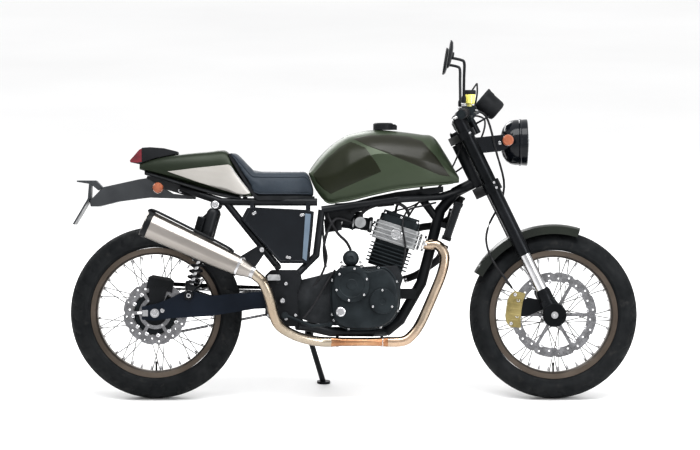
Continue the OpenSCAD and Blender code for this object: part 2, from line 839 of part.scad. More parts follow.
cyl_base = [812, 462];
cyl_tilt = 18;
port_x = 104;
port_z = 132;
port_y = -36;
module in_cylinder() {
    translate([cyl_base.x, 0, cyl_base.y]) rotate([0, cyl_tilt, 0]) children();
}

module cylinder_block(z0, z1, x0, x1, half) {
    translate([x0, -half, z0]) cube([x1 - x0, 2 * half, z1 - z0]);
}

module cylinder_node() {
    color("#3b3d40") parked() difference() {
        in_cylinder() {
            cylinder_block(8, 96, -62, 68, 62);
            for (i = [0:5]) cylinder_block(16 + 13 * i, 22 + 13 * i, -72, 80, 76);
            cylinder_block(96, 168, -80, 88, 74);
            for (i = [0:3]) cylinder_block(102 + 16 * i, 110 + 16 * i, -86, 96, 84);
            cylinder_block(168, 206, -70, 78, 66);
            translate([80, port_y, port_z]) rotate([0, 90, 0]) cylinder(h = port_x - 80, r = 26);
        }
        crankcase_body();
    }
}

// A point in the cylinder's coordinates, in those of the upright machine
function cylinder_point(x, y, z) = [
    cyl_base.x + x * cos(cyl_tilt) + z * sin(cyl_tilt),
    y,
    cyl_base.y - x * sin(cyl_tilt) + z * cos(cyl_tilt)
];

clutch = [699, 409];
module engine_covers() {
    color("#2b2e32") parked() {
        plate_xz(-134, -102.1) polygon([
            [626, 300], [622, 400], [640, 450], [672, 476], [726, 476], [760, 460], [820, 470],
            [862, 420], [872, 340], [846, 280], [790, 250], [700, 246], [650, 262]
        ]);
        disc_y(clutch.x, clutch.y, 64, -152, -134);
        disc_y(808, 350, 46, -144, -134);
        plate_xz(104.1, 128) polygon([
            [660, 300], [652, 380], [680, 440], [740, 462], [810, 450], [856, 390], [850, 310],
            [800, 272], [700, 272]
        ]);
        disc_y(756, 366, 62, 128, 140);
        plate_xz(104.1, 122) polygon([
            [494, 300], [489, 350], [494, 398], [530, 410], [600, 404], [640, 360], [632, 300],
            [580, 284], [520, 284]
        ]);
        disc_y(696, 501, 29, -130, -10);
    }
}

module throttle_body() {
    flange = cylinder_point(-86 - seat_gap, -18, 138);
    intake = cylinder_point(-104, -18, 138);
    color("#2c2e31") parked() {
        rod(flange, intake, 27);
        rod(intake + [12, 0, -3], intake + [-100, 0, 12], 24);
        disc_y(intake.x - 26, intake.z + 4, 20, -64, 28);
        rod(intake + [-30, 0, 4], intake + [-30, 0, 42], 14);
        translate(intake + [-108, -44, -24]) cube([16, 96, 48]);
    }
}

down_tube_points = [
    fork_point(-fork_offset - 8, 0, yoke_low[1] + 21), [1070, 0, 737], [1016, 0, 672],
    [948, 0, 413], [872, 0, 280], [819, 0, 237]
];
module radiator() {
    color("#1b1d20") parked() difference() {
        translate([1082, 0, 700]) rotate([0, 199, 0]) {
            translate([-16, -84, 0]) cube([32, 168, 142]);
            translate([-10, -100, 10]) cube([20, 200, 122]);
            translate([14, -12, 84]) cube([34, 24, 20]);
        }
        bar_run(down_tube_points, down_tube_d / 2 + seat_gap);
    }
}

silencer_front = [350, silencer_y, 452];
silencer_rear = [-33, silencer_y, 628];
silencer_d0 = unit(silencer_rear - silencer_front);
pipe_points = [
    cylinder_point(port_x + pin_gap, port_y, port_z), cylinder_point(port_x + 22, port_y, port_z),
    [1003, -46, 549], [1024, -50, 527], [1031, -54, 496], [1018, -56, 440], [986, -58, 362],
    [944, -66, 270], [912, -72, 226], [884, -78, 207],
    [848, -82, 204], [826, -82, 204]
];
tail_pipe_points = [
    [626, -88, 204], [604, -88, 204], [540, -118, 214], [490, -146, 232], [444, -174, 262],
    [424, -188, 300], [413, -198, 346], [400, -208, 386], [382, -214, 422],
    silencer_front - 24 * silencer_d0, silencer_front - pin_gap * silencer_d0
];
module exhaust_pipe() {
    color("#b09a80") parked() {
        bar_run(pipe_points, pipe_d / 2);
        rod(pipe_points[0], cylinder_point(port_x + 8, port_y, port_z), 27);
    }
}

// Chamber under the engine, between the two runs of pipe
module collector() {
    r = pipe_d / 2;
    front = pipe_points[len(pipe_points) - 1];
    rear = tail_pipe_points[0];
    color("#a5764f") parked() {
        hull() {
            translate([rear.x + 24, rear.y + 3, rear.z]) rotate([90, 0, 0])
                cylinder(h = 60, r = r - 3, center = true);
            translate([front.x - 24, front.y, front.z]) rotate([90, 0, 0])
                cylinder(h = 60, r = r - 3, center = true);
        }
        rod([front.x - 30, front.y, front.z], front - [pin_gap, 0, 0], r + 1);
        rod(rear + [pin_gap, 0, 0], [rear.x + 30, rear.y, rear.z], r + 1);
    }
}

module tail_pipe() {
    color("#b09a80") parked() bar_run(tail_pipe_points, pipe_d / 2);
}

module silencer() {
    d = silencer_d0;
    r = silencer_d / 2;
    len_s = norm(silencer_rear - silencer_front);
    color("#c5bcb4") parked() {
        translate(silencer_front)
            rotate([0, acos(d.z), atan2(d.y, d.x)])
                difference() {
                    union() {
                        cylinder(h = 56, r1 = pipe_d / 2 + 2, r2 = 35);
                        translate([0, 0, 56]) cylinder(h = 90, r1 = 35, r2 = 41);
                        translate([0, 0, 146]) cylinder(h = len_s - 146, r1 = 41, r2 = r);
                    }
                    translate([0, 0, len_s - 30]) cylinder(h = 40, r = 22);
                }
        plate_xz(silencer_y - 4, silencer_y + 4) polygon([
            [300, 490], [352, 462], [394, 520], [394, 542], [366, 548], [310, 512]
        ]);
        rod([382, silencer_y, 532], [382, -120.6, 532], 8);
    }
}

// Tank rows: x, bottom, crease, top, half widths at bottom, crease and shoulder
tank_rows = [
    [546, 800, 806, 812, 0.36, 0.42, 0.30],
    [572, 744, 790, 850, 0.50, 0.60, 0.40],
    [612, 700, 790, 893, 0.60, 0.76, 0.50],
    [660, 703, 806, 929, 0.66, 0.88, 0.58],
    [700, 709, 832, 946, 0.72, 0.94, 0.64],
    [776, 728, 870, 960, 0.80, 1.00, 0.70],
    [860, 746, 868, 955, 0.80, 0.99, 0.70],
    [945, 757, 850, 944, 0.76, 0.90, 0.62],
    [992, 762, 838, 934, 0.68, 0.78, 0.52],
    [1036, 766, 822, 872, 0.56, 0.62, 0.44],
    [1082, 772, 786, 794, 0.40, 0.44, 0.34]
];
function tank_half_ring(r, n) = let (w = tank_half) concat(
    [[0, r[1] - belly]],
    arc_to([w * r[4], r[1]], [w * (r[4] + r[5]) * 0.54, r[1] * 0.55 + r[2] * 0.45], [w * r[5], r[2]], n),
    [for (p = arc_to([w * r[5], r[2]], [w * r[6] * 1.06, r[3] - 2], [0, r[3]], n)) if (p[0] != w * r[5]) p]
);
module fuel_tank() {
    rings = [
        for (r = smooth_rows(tank_rows, 3))
            let (half = tank_half_ring(r, 5))
                concat([for (p = half) [r[0], p[0], p[1]]],
                       [for (i = [len(half) - 2:-1:1]) [r[0], -half[i][0], half[i][1]]])
    ];
    color("#505f4b") parked() loft(rings);
}

cap_c = [812, 960.7];
neck_h = 12;
lid_h = 12;
hinge_x = cap_d / 2 + 8;
module filler_neck() {
    color("#1c1d1f") parked() translate([cap_c.x, 0, cap_c.y]) {
        difference() {
            cylinder(h = neck_h, d = cap_d);
            translate([0, 0, -1]) cylinder(h = neck_h + 2, d = cap_d - 20);
        }
        mirrored() difference() {
            union() {
                translate([hinge_x, 10, neck_h]) rotate([-90, 0, 0]) cylinder(h = 6, r = 5);
                translate([cap_d / 2 - 8, 10, 0]) cube([hinge_x - cap_d / 2 + 13, 6, neck_h]);
            }
            translate([hinge_x, 0, neck_h]) rotate([-90, 0, 0]) cylinder(h = 30, r = 2);
        }
        translate([hinge_x, -16, neck_h]) rotate([-90, 0, 0]) cylinder(h = 32, r = 2 - pin_gap);
    }
}

module fuel_cap() {
    color("#1c1d1f") parked() translate([cap_c.x, 0, cap_c.y + neck_h + seat_gap]) difference() {
        union() {
            cylinder(h = lid_h - 4, d = cap_d);
            translate([0, 0, lid_h - 4]) cylinder(h = 4, d1 = cap_d, d2 = cap_d - 10);
            translate([0, 0, -8]) cylinder(h = 9, d = cap_d - 21);
            translate([cap_d / 2 - 10, -9, 0]) cube([hinge_x - cap_d / 2 + 10, 18, 7]);
            translate([hinge_x, -9, -seat_gap]) rotate([-90, 0, 0]) cylinder(h = 18, r = 5);
        }
        translate([hinge_x, -10, -seat_gap]) rotate([-90, 0, 0]) cylinder(h = 20, r = 2);
        translate([hinge_x - 9, 9.5, -2]) cube([20, 8, 20]);
        translate([hinge_x - 9, -17.5, -2]) cube([20, 8, 20]);
    }
}

// Seat rows: x, bottom, top, half width as a share of the widest
seat_rows = [
    [262, 874, 884, 0.80],
    [280, 850, 879, 0.88],
    [305, 808, 856, 0.94],
    [334, 762, 826, 0.98],
    [358, 722, 815, 1.00],
    [440, 720, 813, 1.00],
    [500, 720, 812, 0.86],
    [540, 720, 808, 0.66],
    [562, 720, 752, 0.56]
];
function pad_half_ring(zb, zt, w) = concat(
    [[0, zb - belly], [w * 0.8, zb]],
    arc_to([w, zb + 0.12 * (zt - zb)], [w, zt], [w * 0.62, zt - 0.02 * (zt - zb)], 4),
    [[0, zt]]
);
function body_rings(rows, width, n) = [
    for (r = smooth_rows(rows, n))
        let (half = pad_half_ring(r[1], r[2], width * r[3]))
            concat([for (p = half) [r[0], p[0], p[1]]],
                   [for (i = [len(half) - 2:-1:1]) [r[0], -half[i][0], half[i][1]]])
];
module seat() {
    color("#3c4450") parked() loft(body_rings(seat_rows, seat_half, 2));
}

// Cowl rows: x, bottom, top, half width as a share of the seat's
cowl_rows = [
    [-58, 819, 838, 0.42],
    [0, 802, 857, 0.58],
    [72, 780, 871, 0.72],
    [185, 747, 883, 0.86],
    [252, 731, 884, 0.94],
    [286, 722, 826, 0.98],
    [318, 722, 774, 0.99],
    [342, 722, 736, 1.0]
];
module tail_cowl() {
    color("#55634f") parked() loft(body_rings(cowl_rows, seat_half, 2));
}

module tail_light() {
    color("#a51e34") parked() plate_xz(-46, 46) polygon([
        [-94, 850], [-60, 889], [-48, 896], [67, 897], [67, 871.5], [0, 858.5], [-48, 843],
        [-66, 840], [-90, 843]
    ]);
}

module rear_mudguard() {
    color("#1d1f22") parked() difference() {
        union() {
            plate_xz(-60, 60) polygon([
                [140, 712], [140, 722], [60, 732], [-33, 787], [-60, 783], [-187, 755], [-236, 706],
                [-232, 686], [-202, 686], [-130, 704], [-23, 718]
            ]);
            plate_xz(-undertray_half, undertray_half) polygon([
                [-40, 770], [-30, 796], [40, 784], [130, 759], [140, 715]
            ]);
            plate_xz(-48, 48) polygon([
                [-282, 774], [-282, 779], [-214, 779], [-190, 754], [-206, 744], [-232, 766]
            ]);
            plate_xz(-plate_half, plate_half)
                translate(plate_low) rotate(-plate_slope) square([plate_holder_t, 110]);
            plate_xz(-48, 48) polygon([[-244, 706], [-238, 776], [-230, 776], [-232, 700]]);
        }
        for (s = [-1, 1])
            translate([plate_low.x + plate_hole_up * sin(plate_slope), s * plate_hole_gap / 2,
                       plate_low.y + plate_hole_up * cos(plate_slope)])
                rotate([0, 90 + plate_slope, 0])
                    cylinder(h = 5 * plate_holder_t, d = plate_hole_d, center = true);
    }
}

module rear_indicators() {
    color("#c96a3a") parked() mirrored() {
        rod([11, 60, 752], [11, 112, 752], 7);
        rod([11, 112, 752], [11, 120, 752], 14);
        rod([11, 120, 752], [11, 148, 752], 20);
    }
}

module side_panels() {
    y0 = seat_rail_y + main_tube_d / 2 - 2 + seat_gap;
    color("#20262c") parked() mirrored() plate_xz(y0, y0 + panel_t) polygon([
        [306, 640], [328, 681], [338, 680], [338, 702], [352, 702], [352, 680], [536, 670],
        [536, 702], [550, 702], [550, 669], [563, 668], [546, 484], [445, 484]
    ]);
}

peg = [417, 433];
module footpegs() {
    y0 = plate_y + plate_t;
    color("#8f9193") parked() mirrored() {
        translate([peg.x - 18, y0, peg.y - 16]) cube([36, 22, 30]);
        rod([peg.x, y0 + 20, peg.y], [peg.x, y0 + 40, peg.y], 9);
        translate([peg.x - 14, y0 + 38, peg.y - 9]) cube([44, 82, 18]);
    }
}

module foot_levers() {
    y0 = plate_y + plate_t;
    color("#2a2c2f") parked() {
        disc_y(462, 300, 12, -y0 - 16, -y0);
        bar_run([[462, -y0 - 10, 300], [560, -y0 - 14, 262], [622, -y0 - 22, 268]], 6);
        disc_y(622, 268, 9, -y0 - 50, -y0 - 16);
        disc_y(490, 400, 10, y0, y0 + 16);
        bar_run([[490, y0 + 10, 400], [560, y0 + 14, 388], [600, y0 + 20, 372]], 6);
        disc_y(600, 372, 9, y0 + 14, y0 + 48);
    }
}

// Outline of a belt around the two sprockets at the given radii
module belt(big, small) {
    a = [0, rear_tyre_r];
    b = engine_out;
    way = atan2(b.y - a.y, b.x - a.x);
    tilt = acos((big - small) / norm(b - a));
    function at(c, r, s) = c + r * [cos(way + s * tilt), sin(way + s * tilt)];
    translate(a) circle(r = big, $fn = 96);
    translate(b) circle(r = small);
    polygon([at(a, big, 1), at(b, small, 1), at(b, small, -1), at(a, big, -1)]);
}

module chain() {
    h = chain_h / 2;
    color("#55575a") parked() plate_xz(chain_y - chain_w / 2, chain_y + chain_w / 2) difference() {
        belt(rear_sprocket_r + h, front_sprocket_r + h);
        belt(rear_sprocket_r - h, front_sprocket_r - h);
    }
}

module chain_guard() {
    outer = chain_y + chain_w / 2 + 3;
    color("#1e2023") parked() {
        plate_xz(outer, outer + 2.5) polygon([
            [-30, 402], [0, 414], [60, 414], [380, 400], [380, 389], [200, 390], [60, 400], [0, 400]
        ]);
        plate_xz(chain_y - chain_w / 2, outer + 1) polygon([
            [0, 410], [60, 410], [380, 397], [380, 400], [60, 414], [0, 414]
        ]);
        translate([226, outer, 373.2]) cube([20, arm_y + 6 - outer, 22]);
    }
}

module rear_caliper() {
    color("#1b1d20") parked() {
        caliper_block(0, rear_tyre_r, -80, 82, 132, 92, -64, -102, rear_disc_r,
                      -rear_disc_y - disc_t, -rear_disc_y);
        difference() {
            union() {
                disc_y(0, rear_tyre_r, 24, -arm_y, -arm_y + 8);
                plate_xz(-arm_y, -arm_y + 6) polygon([
                    [-20, 307], [-22, 400], [44, 400], [20, 307]
                ]);
            }
            disc_y(0, rear_tyre_r, rear_axle_d / 2 + pin_gap, -arm_y - 1, -arm_y + 12);
        }
    }
}

module side_stand() {
    n = stand_axis;
    eye = stand_eye_h / 2;
    color("#26282b") parked() {
        difference() {
            union() {
                rod(stand_pivot - eye * n, stand_pivot + eye * n, stand_eye_r);
                rod(stand_pivot + 8 * stand_d, stand_foot - 9 * stand_d, 10);
            }
            rod(stand_pivot - 2 * eye * n, stand_pivot + 2 * eye * n, stand_pin_d / 2 + pin_gap);
        }
        translate(stand_foot) rotate([lean, 0, 0]) cylinder(h = 8, d = stand_foot_d);
    }
}

front_tyre();
front_rim();
front_spokes();
front_hub();
front_disc();
rear_tyre();
rear_rim();
rear_spokes();
rear_hub();
rear_disc();
rear_sprocket();
yokes();
fork_tubes();
fork_sliders();
front_axle();
front_mudguard();
front_caliper();
front_brake_hose();
headlight();
instrument();
handlebar();
grips();
hand_levers();
brake_reservoir();
mirrors();
front_indicators();
frame();
cross_tubes();
stand_bracket();
subframe();
swingarm();
rear_axle();
shock_absorbers();
crankcase();
cylinder_node();  // cylinder
engine_covers();
throttle_body();
radiator();
exhaust_pipe();
collector();
tail_pipe();
silencer();
fuel_tank();
filler_neck();
fuel_cap();
seat();
tail_cowl();
tail_light();
rear_mudguard();
rear_indicators();
side_panels();
footpegs();
foot_levers();
chain();
chain_guard();
rear_caliper();
side_stand();
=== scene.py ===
# %% [markdown]
# # A cafe racer on its side stand
# The jointed model of the motorcycle is made elsewhere and comes in here as a fixed frame, one object for
# each piece. This lesson gives those pieces their finishes and adds what a plain solid doesn't show: tread,
# springs, chain links, bolts, seams, glass and cables.

# %% Load the frame
import json
import math

import bmesh
import bpy
from mathutils import Matrix, Vector


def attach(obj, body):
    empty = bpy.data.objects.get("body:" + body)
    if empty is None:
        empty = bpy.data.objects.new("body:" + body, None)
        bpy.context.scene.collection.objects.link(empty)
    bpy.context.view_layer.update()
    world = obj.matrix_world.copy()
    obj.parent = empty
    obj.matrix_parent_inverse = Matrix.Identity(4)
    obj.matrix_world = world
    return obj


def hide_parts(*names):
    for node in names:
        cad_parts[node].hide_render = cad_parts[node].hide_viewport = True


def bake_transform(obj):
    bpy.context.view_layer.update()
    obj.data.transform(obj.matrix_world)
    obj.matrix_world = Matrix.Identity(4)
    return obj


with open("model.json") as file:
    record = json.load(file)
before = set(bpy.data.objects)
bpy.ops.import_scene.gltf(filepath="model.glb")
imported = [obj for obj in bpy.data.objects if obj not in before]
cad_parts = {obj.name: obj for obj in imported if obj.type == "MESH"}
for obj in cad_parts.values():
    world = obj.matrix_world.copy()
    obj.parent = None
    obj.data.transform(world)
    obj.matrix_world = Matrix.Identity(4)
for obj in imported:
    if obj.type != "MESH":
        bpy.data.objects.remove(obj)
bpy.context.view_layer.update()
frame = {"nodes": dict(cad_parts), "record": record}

nodes = frame["nodes"]
joints = {joint["name"]: joint for joint in frame["record"]["behaviour"]["joints"]}
print("pieces in the frame:", len(nodes))

# %% [markdown]
# The machine leans to its left. It's easier to place things on an upright machine, so one matrix takes
# upright millimetres (X forward from the rear axle, Y to the rider's left, Z up) to the leaning frame in
# metres. The rear wheel's joint gives both its place and the direction across the machine.

# %% Upright millimetres to the leaning frame
WHEELBASE, FRONT_R, REAR_R, RAKE = 1420, 300, 307, math.radians(26)
MM = 0.001
across = Vector(joints["rear_wheel_spin"]["axis"])
upward = Vector((1, 0, 0)).cross(across)
hub = Vector(joints["rear_wheel_spin"]["pos_m"])
machine = Matrix((
    (MM, MM * across.x, MM * upward.x, 0),
    (0, MM * across.y, MM * upward.y, 0),
    (0, MM * across.z, MM * upward.z, 0),
    (0, 0, 0, 1),
))
machine.translation = hub - machine.to_3x3() @ Vector((0, 0, REAR_R))
fork = Matrix.Translation((WHEELBASE, 0, FRONT_R)) @ Matrix.Rotation(-RAKE, 4, "Y")
lean = math.degrees(math.atan2(upward.y, upward.z))
print("lean in degrees:", round(lean, 2))

# %% [markdown]
# Real pieces are turned, bent, cast or pressed, so the helper below collects vertices from a few such
# moves: a skin over rings, a tube along points, a shape turned about an axis, an outline given a thickness
# and a small bolt. make() turns the collection into one object, rounds its edges and lets it ride a body.

# %% Directions and smooth paths
def perpendicular(way):
    other = Vector((0, 0, 1)) if abs(way.z) < 0.9 * way.length else Vector((0, 1, 0))
    return way.cross(other).normalized()


def neighbours(rows, i):
    return rows[max(i - 1, 0)], rows[i], rows[i + 1], rows[min(i + 2, len(rows) - 1)]


def curve_at(a, b, c, d, t):
    return 0.5 * (2 * b + (c - a) * t + (2 * a - 5 * b + 4 * c - d) * t * t
                  + (3 * b - a - 3 * c + d) * t ** 3)


def smooth_path(points, steps=6):
    rows = [Vector(p) for p in points]
    path = [curve_at(*neighbours(rows, i), k / steps) for i in range(len(rows) - 1) for k in range(steps)]
    return path + [rows[-1]]


def circle(centre, r, side, other, sides):
    angles = [2 * math.pi * k / sides for k in range(sides)]
    return [centre + r * (math.cos(t) * side + math.sin(t) * other) for t in angles]


print("points on a smooth path through three:", len(smooth_path([(0, 0, 0), (1, 0, 0), (1, 1, 0)])))

# %% [markdown]
# The collector keeps vertices, faces and the number of each face's finish. Its place is a matrix, so a
# sub-part such as the fork can be described standing upright and still come out raked.

# %% A collector of surfaces
class Shape:
    def __init__(self, place=None):
        self.place = place or Matrix()
        self.verts, self.faces, self.looks = [], [], []

    def add(self, verts, faces, look=0):
        start = len(self.verts)
        self.verts += [self.place @ Vector(p) for p in verts]
        self.faces += [[start + i for i in face] for face in faces]
        self.looks += [look] * len(faces)

    def rings(self, rings, look=0, loop=False):
        m, n = len(rings[0]), len(rings)
        faces = []
        for i in range(n if loop else n - 1):
            for j in range(m):
                a, b, k = i * m, (i + 1) % n * m, (j + 1) % m
                faces.append((a + j, b + j, b + k, a + k))
        if not loop:
            faces += [tuple(range(m)), tuple(range(n * m - 1, n * m - m - 1, -1))]
        self.add([p for ring in rings for p in ring], faces, look)

    def tube(self, points, r, sides=12, look=0):
        rows = [Vector(p) for p in points]
        radii = r if isinstance(r, list) else [r] * len(rows)
        rings, side = [], None
        for i, p in enumerate(rows):
            way = (rows[min(i + 1, len(rows) - 1)] - rows[max(i - 1, 0)]).normalized()
            side = perpendicular(way) if side is None else (side - way * side.dot(way)).normalized()
            rings.append(circle(p, radii[i], side, way.cross(side), sides))
        self.rings(rings, look)

    def turned(self, outline, at, way, sides=48, look=0, loop=False):
        way = Vector(way).normalized()
        side = perpendicular(way)
        other = way.cross(side)
        self.rings([circle(Vector(at) + h * way, r, side, other, sides) for r, h in outline], look, loop)

    def prism(self, outline, y0, y1, look=0):
        self.rings([[(x, y0, z) for x, z in outline], [(x, y1, z) for x, z in outline]], look)

    def block(self, low, high, look=0):
        (x0, y0, z0), (x1, y1, z1) = low, high
        self.prism([(x0, z0), (x1, z0), (x1, z1), (x0, z1)], y0, y1, look)

    def bolt(self, at, way, r=6, h=5, look=0):
        socket = 0.5 * r
        self.turned([(r, -1), (r, 0.75 * h), (0.85 * r, h), (socket, h), (socket, 0.4 * h)],
                    at, way, 12, look)

    def make(self, name, finishes, body, node=(), sharp=32, bevel=0):
        mesh = bpy.data.meshes.new(name)
        mesh.from_pydata([machine @ p for p in self.verts], [], self.faces)
        for finish in finishes:
            mesh.materials.append(finish)
        mesh.polygons.foreach_set("material_index", self.looks)
        mesh.update()
        piece = bpy.data.objects.new(name, mesh)
        bpy.context.collection.objects.link(piece)
        tidy_normals(mesh)
        mesh.polygons.foreach_set("use_smooth", [True] * len(mesh.polygons))
        mesh.set_sharp_from_angle(angle=math.radians(sharp))
        if bevel:
            rounding = piece.modifiers.new("rounding", "BEVEL")
            rounding.width = bevel * MM
            rounding.segments = 2
            rounding.limit_method = "ANGLE"
            rounding.angle_limit = math.radians(38)
            rounding.harden_normals = True
        if body:
            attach(piece, body)
        if node:
            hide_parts(*([node] if isinstance(node, str) else node))
        print(name, "faces", len(self.faces))
        return piece


# %% [markdown]
# Skins that are built ring by ring may face inwards. One pass over the mesh turns all faces outwards, which
# the glass and the rounded edges need.

# %% Faces turned outwards
def tidy_normals(mesh):
    work = bmesh.new()
    work.from_mesh(mesh)
    bmesh.ops.recalc_face_normals(work, faces=work.faces)
    work.to_mesh(mesh)
    work.free()


print("surface collector ready")

# %% [markdown]
# ## Finishes
# A finish is never one flat colour: cast metal is grainy, powder coat has a fine orange peel, rubber has
# scuffs. Each finish below is a Principled shader whose colour wanders between two tones, whose roughness
# wanders between two values, and whose surface has a fine bump. Only the numbers change from one to the next.

# %% Parts of a finish
def nodes_of(name):
    finish = bpy.data.materials.new(name)
    finish.use_nodes = True
    tree = finish.node_tree
    return finish, tree, tree.nodes["Principled BSDF"]


def field(tree, kind, scale, stretch=(1, 1, 1), detail=4.0):
    place = tree.nodes.new("ShaderNodeTexCoord")
    shift = tree.nodes.new("ShaderNodeMapping")
    shift.inputs["Scale"].default_value = stretch
    tree.links.new(place.outputs["Object"], shift.inputs["Vector"])
    if kind == "cells":
        spots = tree.nodes.new("ShaderNodeTexVoronoi")
        spots.feature = "DISTANCE_TO_EDGE"
        result = spots.outputs["Distance"]
    elif kind == "bands":
        spots = tree.nodes.new("ShaderNodeTexWave")
        result = spots.outputs["Fac"]
    else:
        spots = tree.nodes.new("ShaderNodeTexNoise")
        spots.inputs["Detail"].default_value = detail
        result = spots.outputs["Fac"]
    spots.inputs["Scale"].default_value = scale
    tree.links.new(shift.outputs["Vector"], spots.inputs["Vector"])
    return result


def between(tree, value, low, high, start=0.35, end=0.65):
    span = tree.nodes.new("ShaderNodeMapRange")
    for socket, number in (("From Min", start), ("From Max", end), ("To Min", low), ("To Max", high)):
        span.inputs[socket].default_value = number
    tree.links.new(value, span.inputs["Value"])
    return span.outputs["Result"]


def mixed(tree, value, dark, light):
    blend = tree.nodes.new("ShaderNodeMix")
    blend.data_type = "RGBA"
    blend.inputs[6].default_value = (*dark, 1)
    blend.inputs[7].default_value = (*light, 1)
    tree.links.new(value, blend.inputs[0])
    return blend.outputs[2]


def covered(tree, share, under, colour):
    top = tree.nodes.new("ShaderNodeMix")
    top.data_type = "RGBA"
    top.inputs[7].default_value = (*colour, 1)
    tree.links.new(under, top.inputs[6])
    tree.links.new(share, top.inputs[0])
    return top.outputs[2]


def bumped(tree, value, strength, depth, before=None):
    bump = tree.nodes.new("ShaderNodeBump")
    bump.inputs["Strength"].default_value = strength
    bump.inputs["Distance"].default_value = depth
    tree.links.new(value, bump.inputs["Height"])
    if before:
        tree.links.new(before, bump.inputs["Normal"])
    return bump.outputs["Normal"]


print("shader helpers ready")

# %% [markdown]
# One function puts them together. Dark and light are the two tones and rough is the lowest and the highest
# roughness. Blotch sets how many soft patches there are and grain how many fine bumps, so both make the
# pattern finer as they grow. Wear, where it's given, is the colour that shows through on scuffed spots.

# %% A helper for finishes
def finish(name, dark, light, rough, metal=0.0, blotch=9, grain=900, strength=0.15, depth=0.0004,
           kind="noise", stretch=(1, 1, 1), coat=0.0, coat_rough=0.05, sheen=0.0, wear=None, specular=0.5):
    made, tree, shader = nodes_of(name)
    tone = between(tree, field(tree, "noise", blotch, stretch), 0, 1)
    colour = mixed(tree, tone, dark, light)
    if wear:
        scuff = between(tree, field(tree, "noise", 38, (1, 1, 1), 9.0), 0, 1, 0.60, 0.72)
        colour = covered(tree, scuff, colour, wear)
    tree.links.new(colour, shader.inputs["Base Color"])
    patch = field(tree, "noise", 3 * blotch, stretch, 7.0)
    tree.links.new(between(tree, patch, rough[0], rough[1]), shader.inputs["Roughness"])
    tree.links.new(bumped(tree, field(tree, kind, grain, stretch), strength, depth),
                   shader.inputs["Normal"])
    for socket, value in (("Metallic", metal), ("Coat Weight", coat), ("Coat Roughness", coat_rough),
                          ("Sheen Weight", sheen), ("Specular IOR Level", specular)):
        shader.inputs[socket].default_value = value
    return made


print("finish helper ready")

# %% [markdown]
# Black parts are what a motorcycle is mostly made of, and they differ in gloss rather than in colour: tyre
# rubber is matt and scuffed, powder coat is satin, enamel is glossy and anodised tube has a dull metal
# shine. The rims are a dark bronze, and plain steel is almost a mirror.

# %% Rubber, rims and black coats
rubber = finish("tyre_rubber", (0.006, 0.007, 0.008), (0.012, 0.013, 0.014), (0.62, 0.85), blotch=14,
                grain=1400, strength=0.35, wear=(0.018, 0.018, 0.018), specular=0.14)
bronze = finish("rim_bronze", (0.072, 0.058, 0.047), (0.120, 0.099, 0.082), (0.34, 0.46), metal=0.8,
                blotch=6, grain=1800, strength=0.08)
bright = finish("bright_steel", (0.42, 0.42, 0.43), (0.58, 0.58, 0.59), (0.12, 0.26), metal=1.0,
                grain=700, strength=0.05)
satin_black = finish("satin_black", (0.006, 0.007, 0.008), (0.012, 0.013, 0.015), (0.30, 0.44),
                     blotch=12, grain=1300, strength=0.10, depth=0.0003, specular=0.16)
gloss_black = finish("gloss_black", (0.004, 0.005, 0.007), (0.008, 0.010, 0.013), (0.12, 0.20),
                     blotch=5, grain=160, strength=0.03, coat=0.12, specular=0.2)
anodised = finish("black_anodised", (0.007, 0.008, 0.009), (0.014, 0.015, 0.017), (0.26, 0.36), metal=0.6,
                  blotch=8, grain=1800, strength=0.06, specular=0.16)
print("finishes so far:", len(bpy.data.materials))

# %% [markdown]
# Castings keep the grain of their mould, so their bump is strong. Machined edges, discs and the gold
# caliper are finer and more metallic.

# %% Discs, castings and coloured metal
disc_steel = finish("disc_steel", (0.17, 0.17, 0.175), (0.27, 0.27, 0.28), (0.22, 0.36), metal=1.0,
                    blotch=40, grain=1500, strength=0.10)
cast_dark = finish("dark_casting", (0.018, 0.020, 0.022), (0.034, 0.036, 0.039), (0.42, 0.58), metal=0.55,
                   blotch=20, grain=1100, strength=0.40, depth=0.0005, specular=0.16)
cast_black = finish("black_casting", (0.010, 0.013, 0.015), (0.020, 0.025, 0.028), (0.38, 0.55),
                    metal=0.3, blotch=16, grain=1200, strength=0.30, depth=0.0005, specular=0.16)
fin_metal = finish("fin_edge_metal", (0.26, 0.265, 0.27), (0.40, 0.405, 0.41), (0.28, 0.42), metal=0.9,
                   blotch=30, grain=1400, strength=0.12)
gold = finish("gold_anodised", (0.26, 0.215, 0.095), (0.36, 0.30, 0.14), (0.26, 0.38), metal=0.9,
              blotch=18, grain=1500, strength=0.12)
blue_black = finish("blue_black_coat", (0.003, 0.006, 0.012), (0.006, 0.010, 0.018), (0.28, 0.40),
                    blotch=8, grain=1300, strength=0.10, coat=0.1, specular=0.14)
print("finishes so far:", len(bpy.data.materials))

# %% [markdown]
# Moulded plastic has a cell-like texture, hose rubber is smooth and dull, and the pegs and the chain are
# bare metal that has been trodden on or oiled.

# %% Plastic, hose rubber and worn metal
moulded = finish("moulded_plastic", (0.007, 0.008, 0.009), (0.015, 0.016, 0.018), (0.45, 0.62),
                 blotch=15, grain=620, strength=0.30, depth=0.0004, kind="cells", specular=0.16)
soft_rubber = finish("soft_rubber", (0.012, 0.012, 0.013), (0.024, 0.024, 0.026), (0.55, 0.75),
                     blotch=22, grain=900, strength=0.30, specular=0.16)
peg_metal = finish("peg_metal", (0.24, 0.245, 0.25), (0.42, 0.425, 0.43), (0.30, 0.48), metal=0.95,
                   blotch=30, grain=900, strength=0.20)
chain_metal = finish("chain_metal", (0.10, 0.10, 0.105), (0.22, 0.22, 0.225), (0.28, 0.50), metal=0.95,
                     blotch=90, grain=1600, strength=0.15, wear=(0.05, 0.045, 0.04))
print("finishes so far:", len(bpy.data.materials))

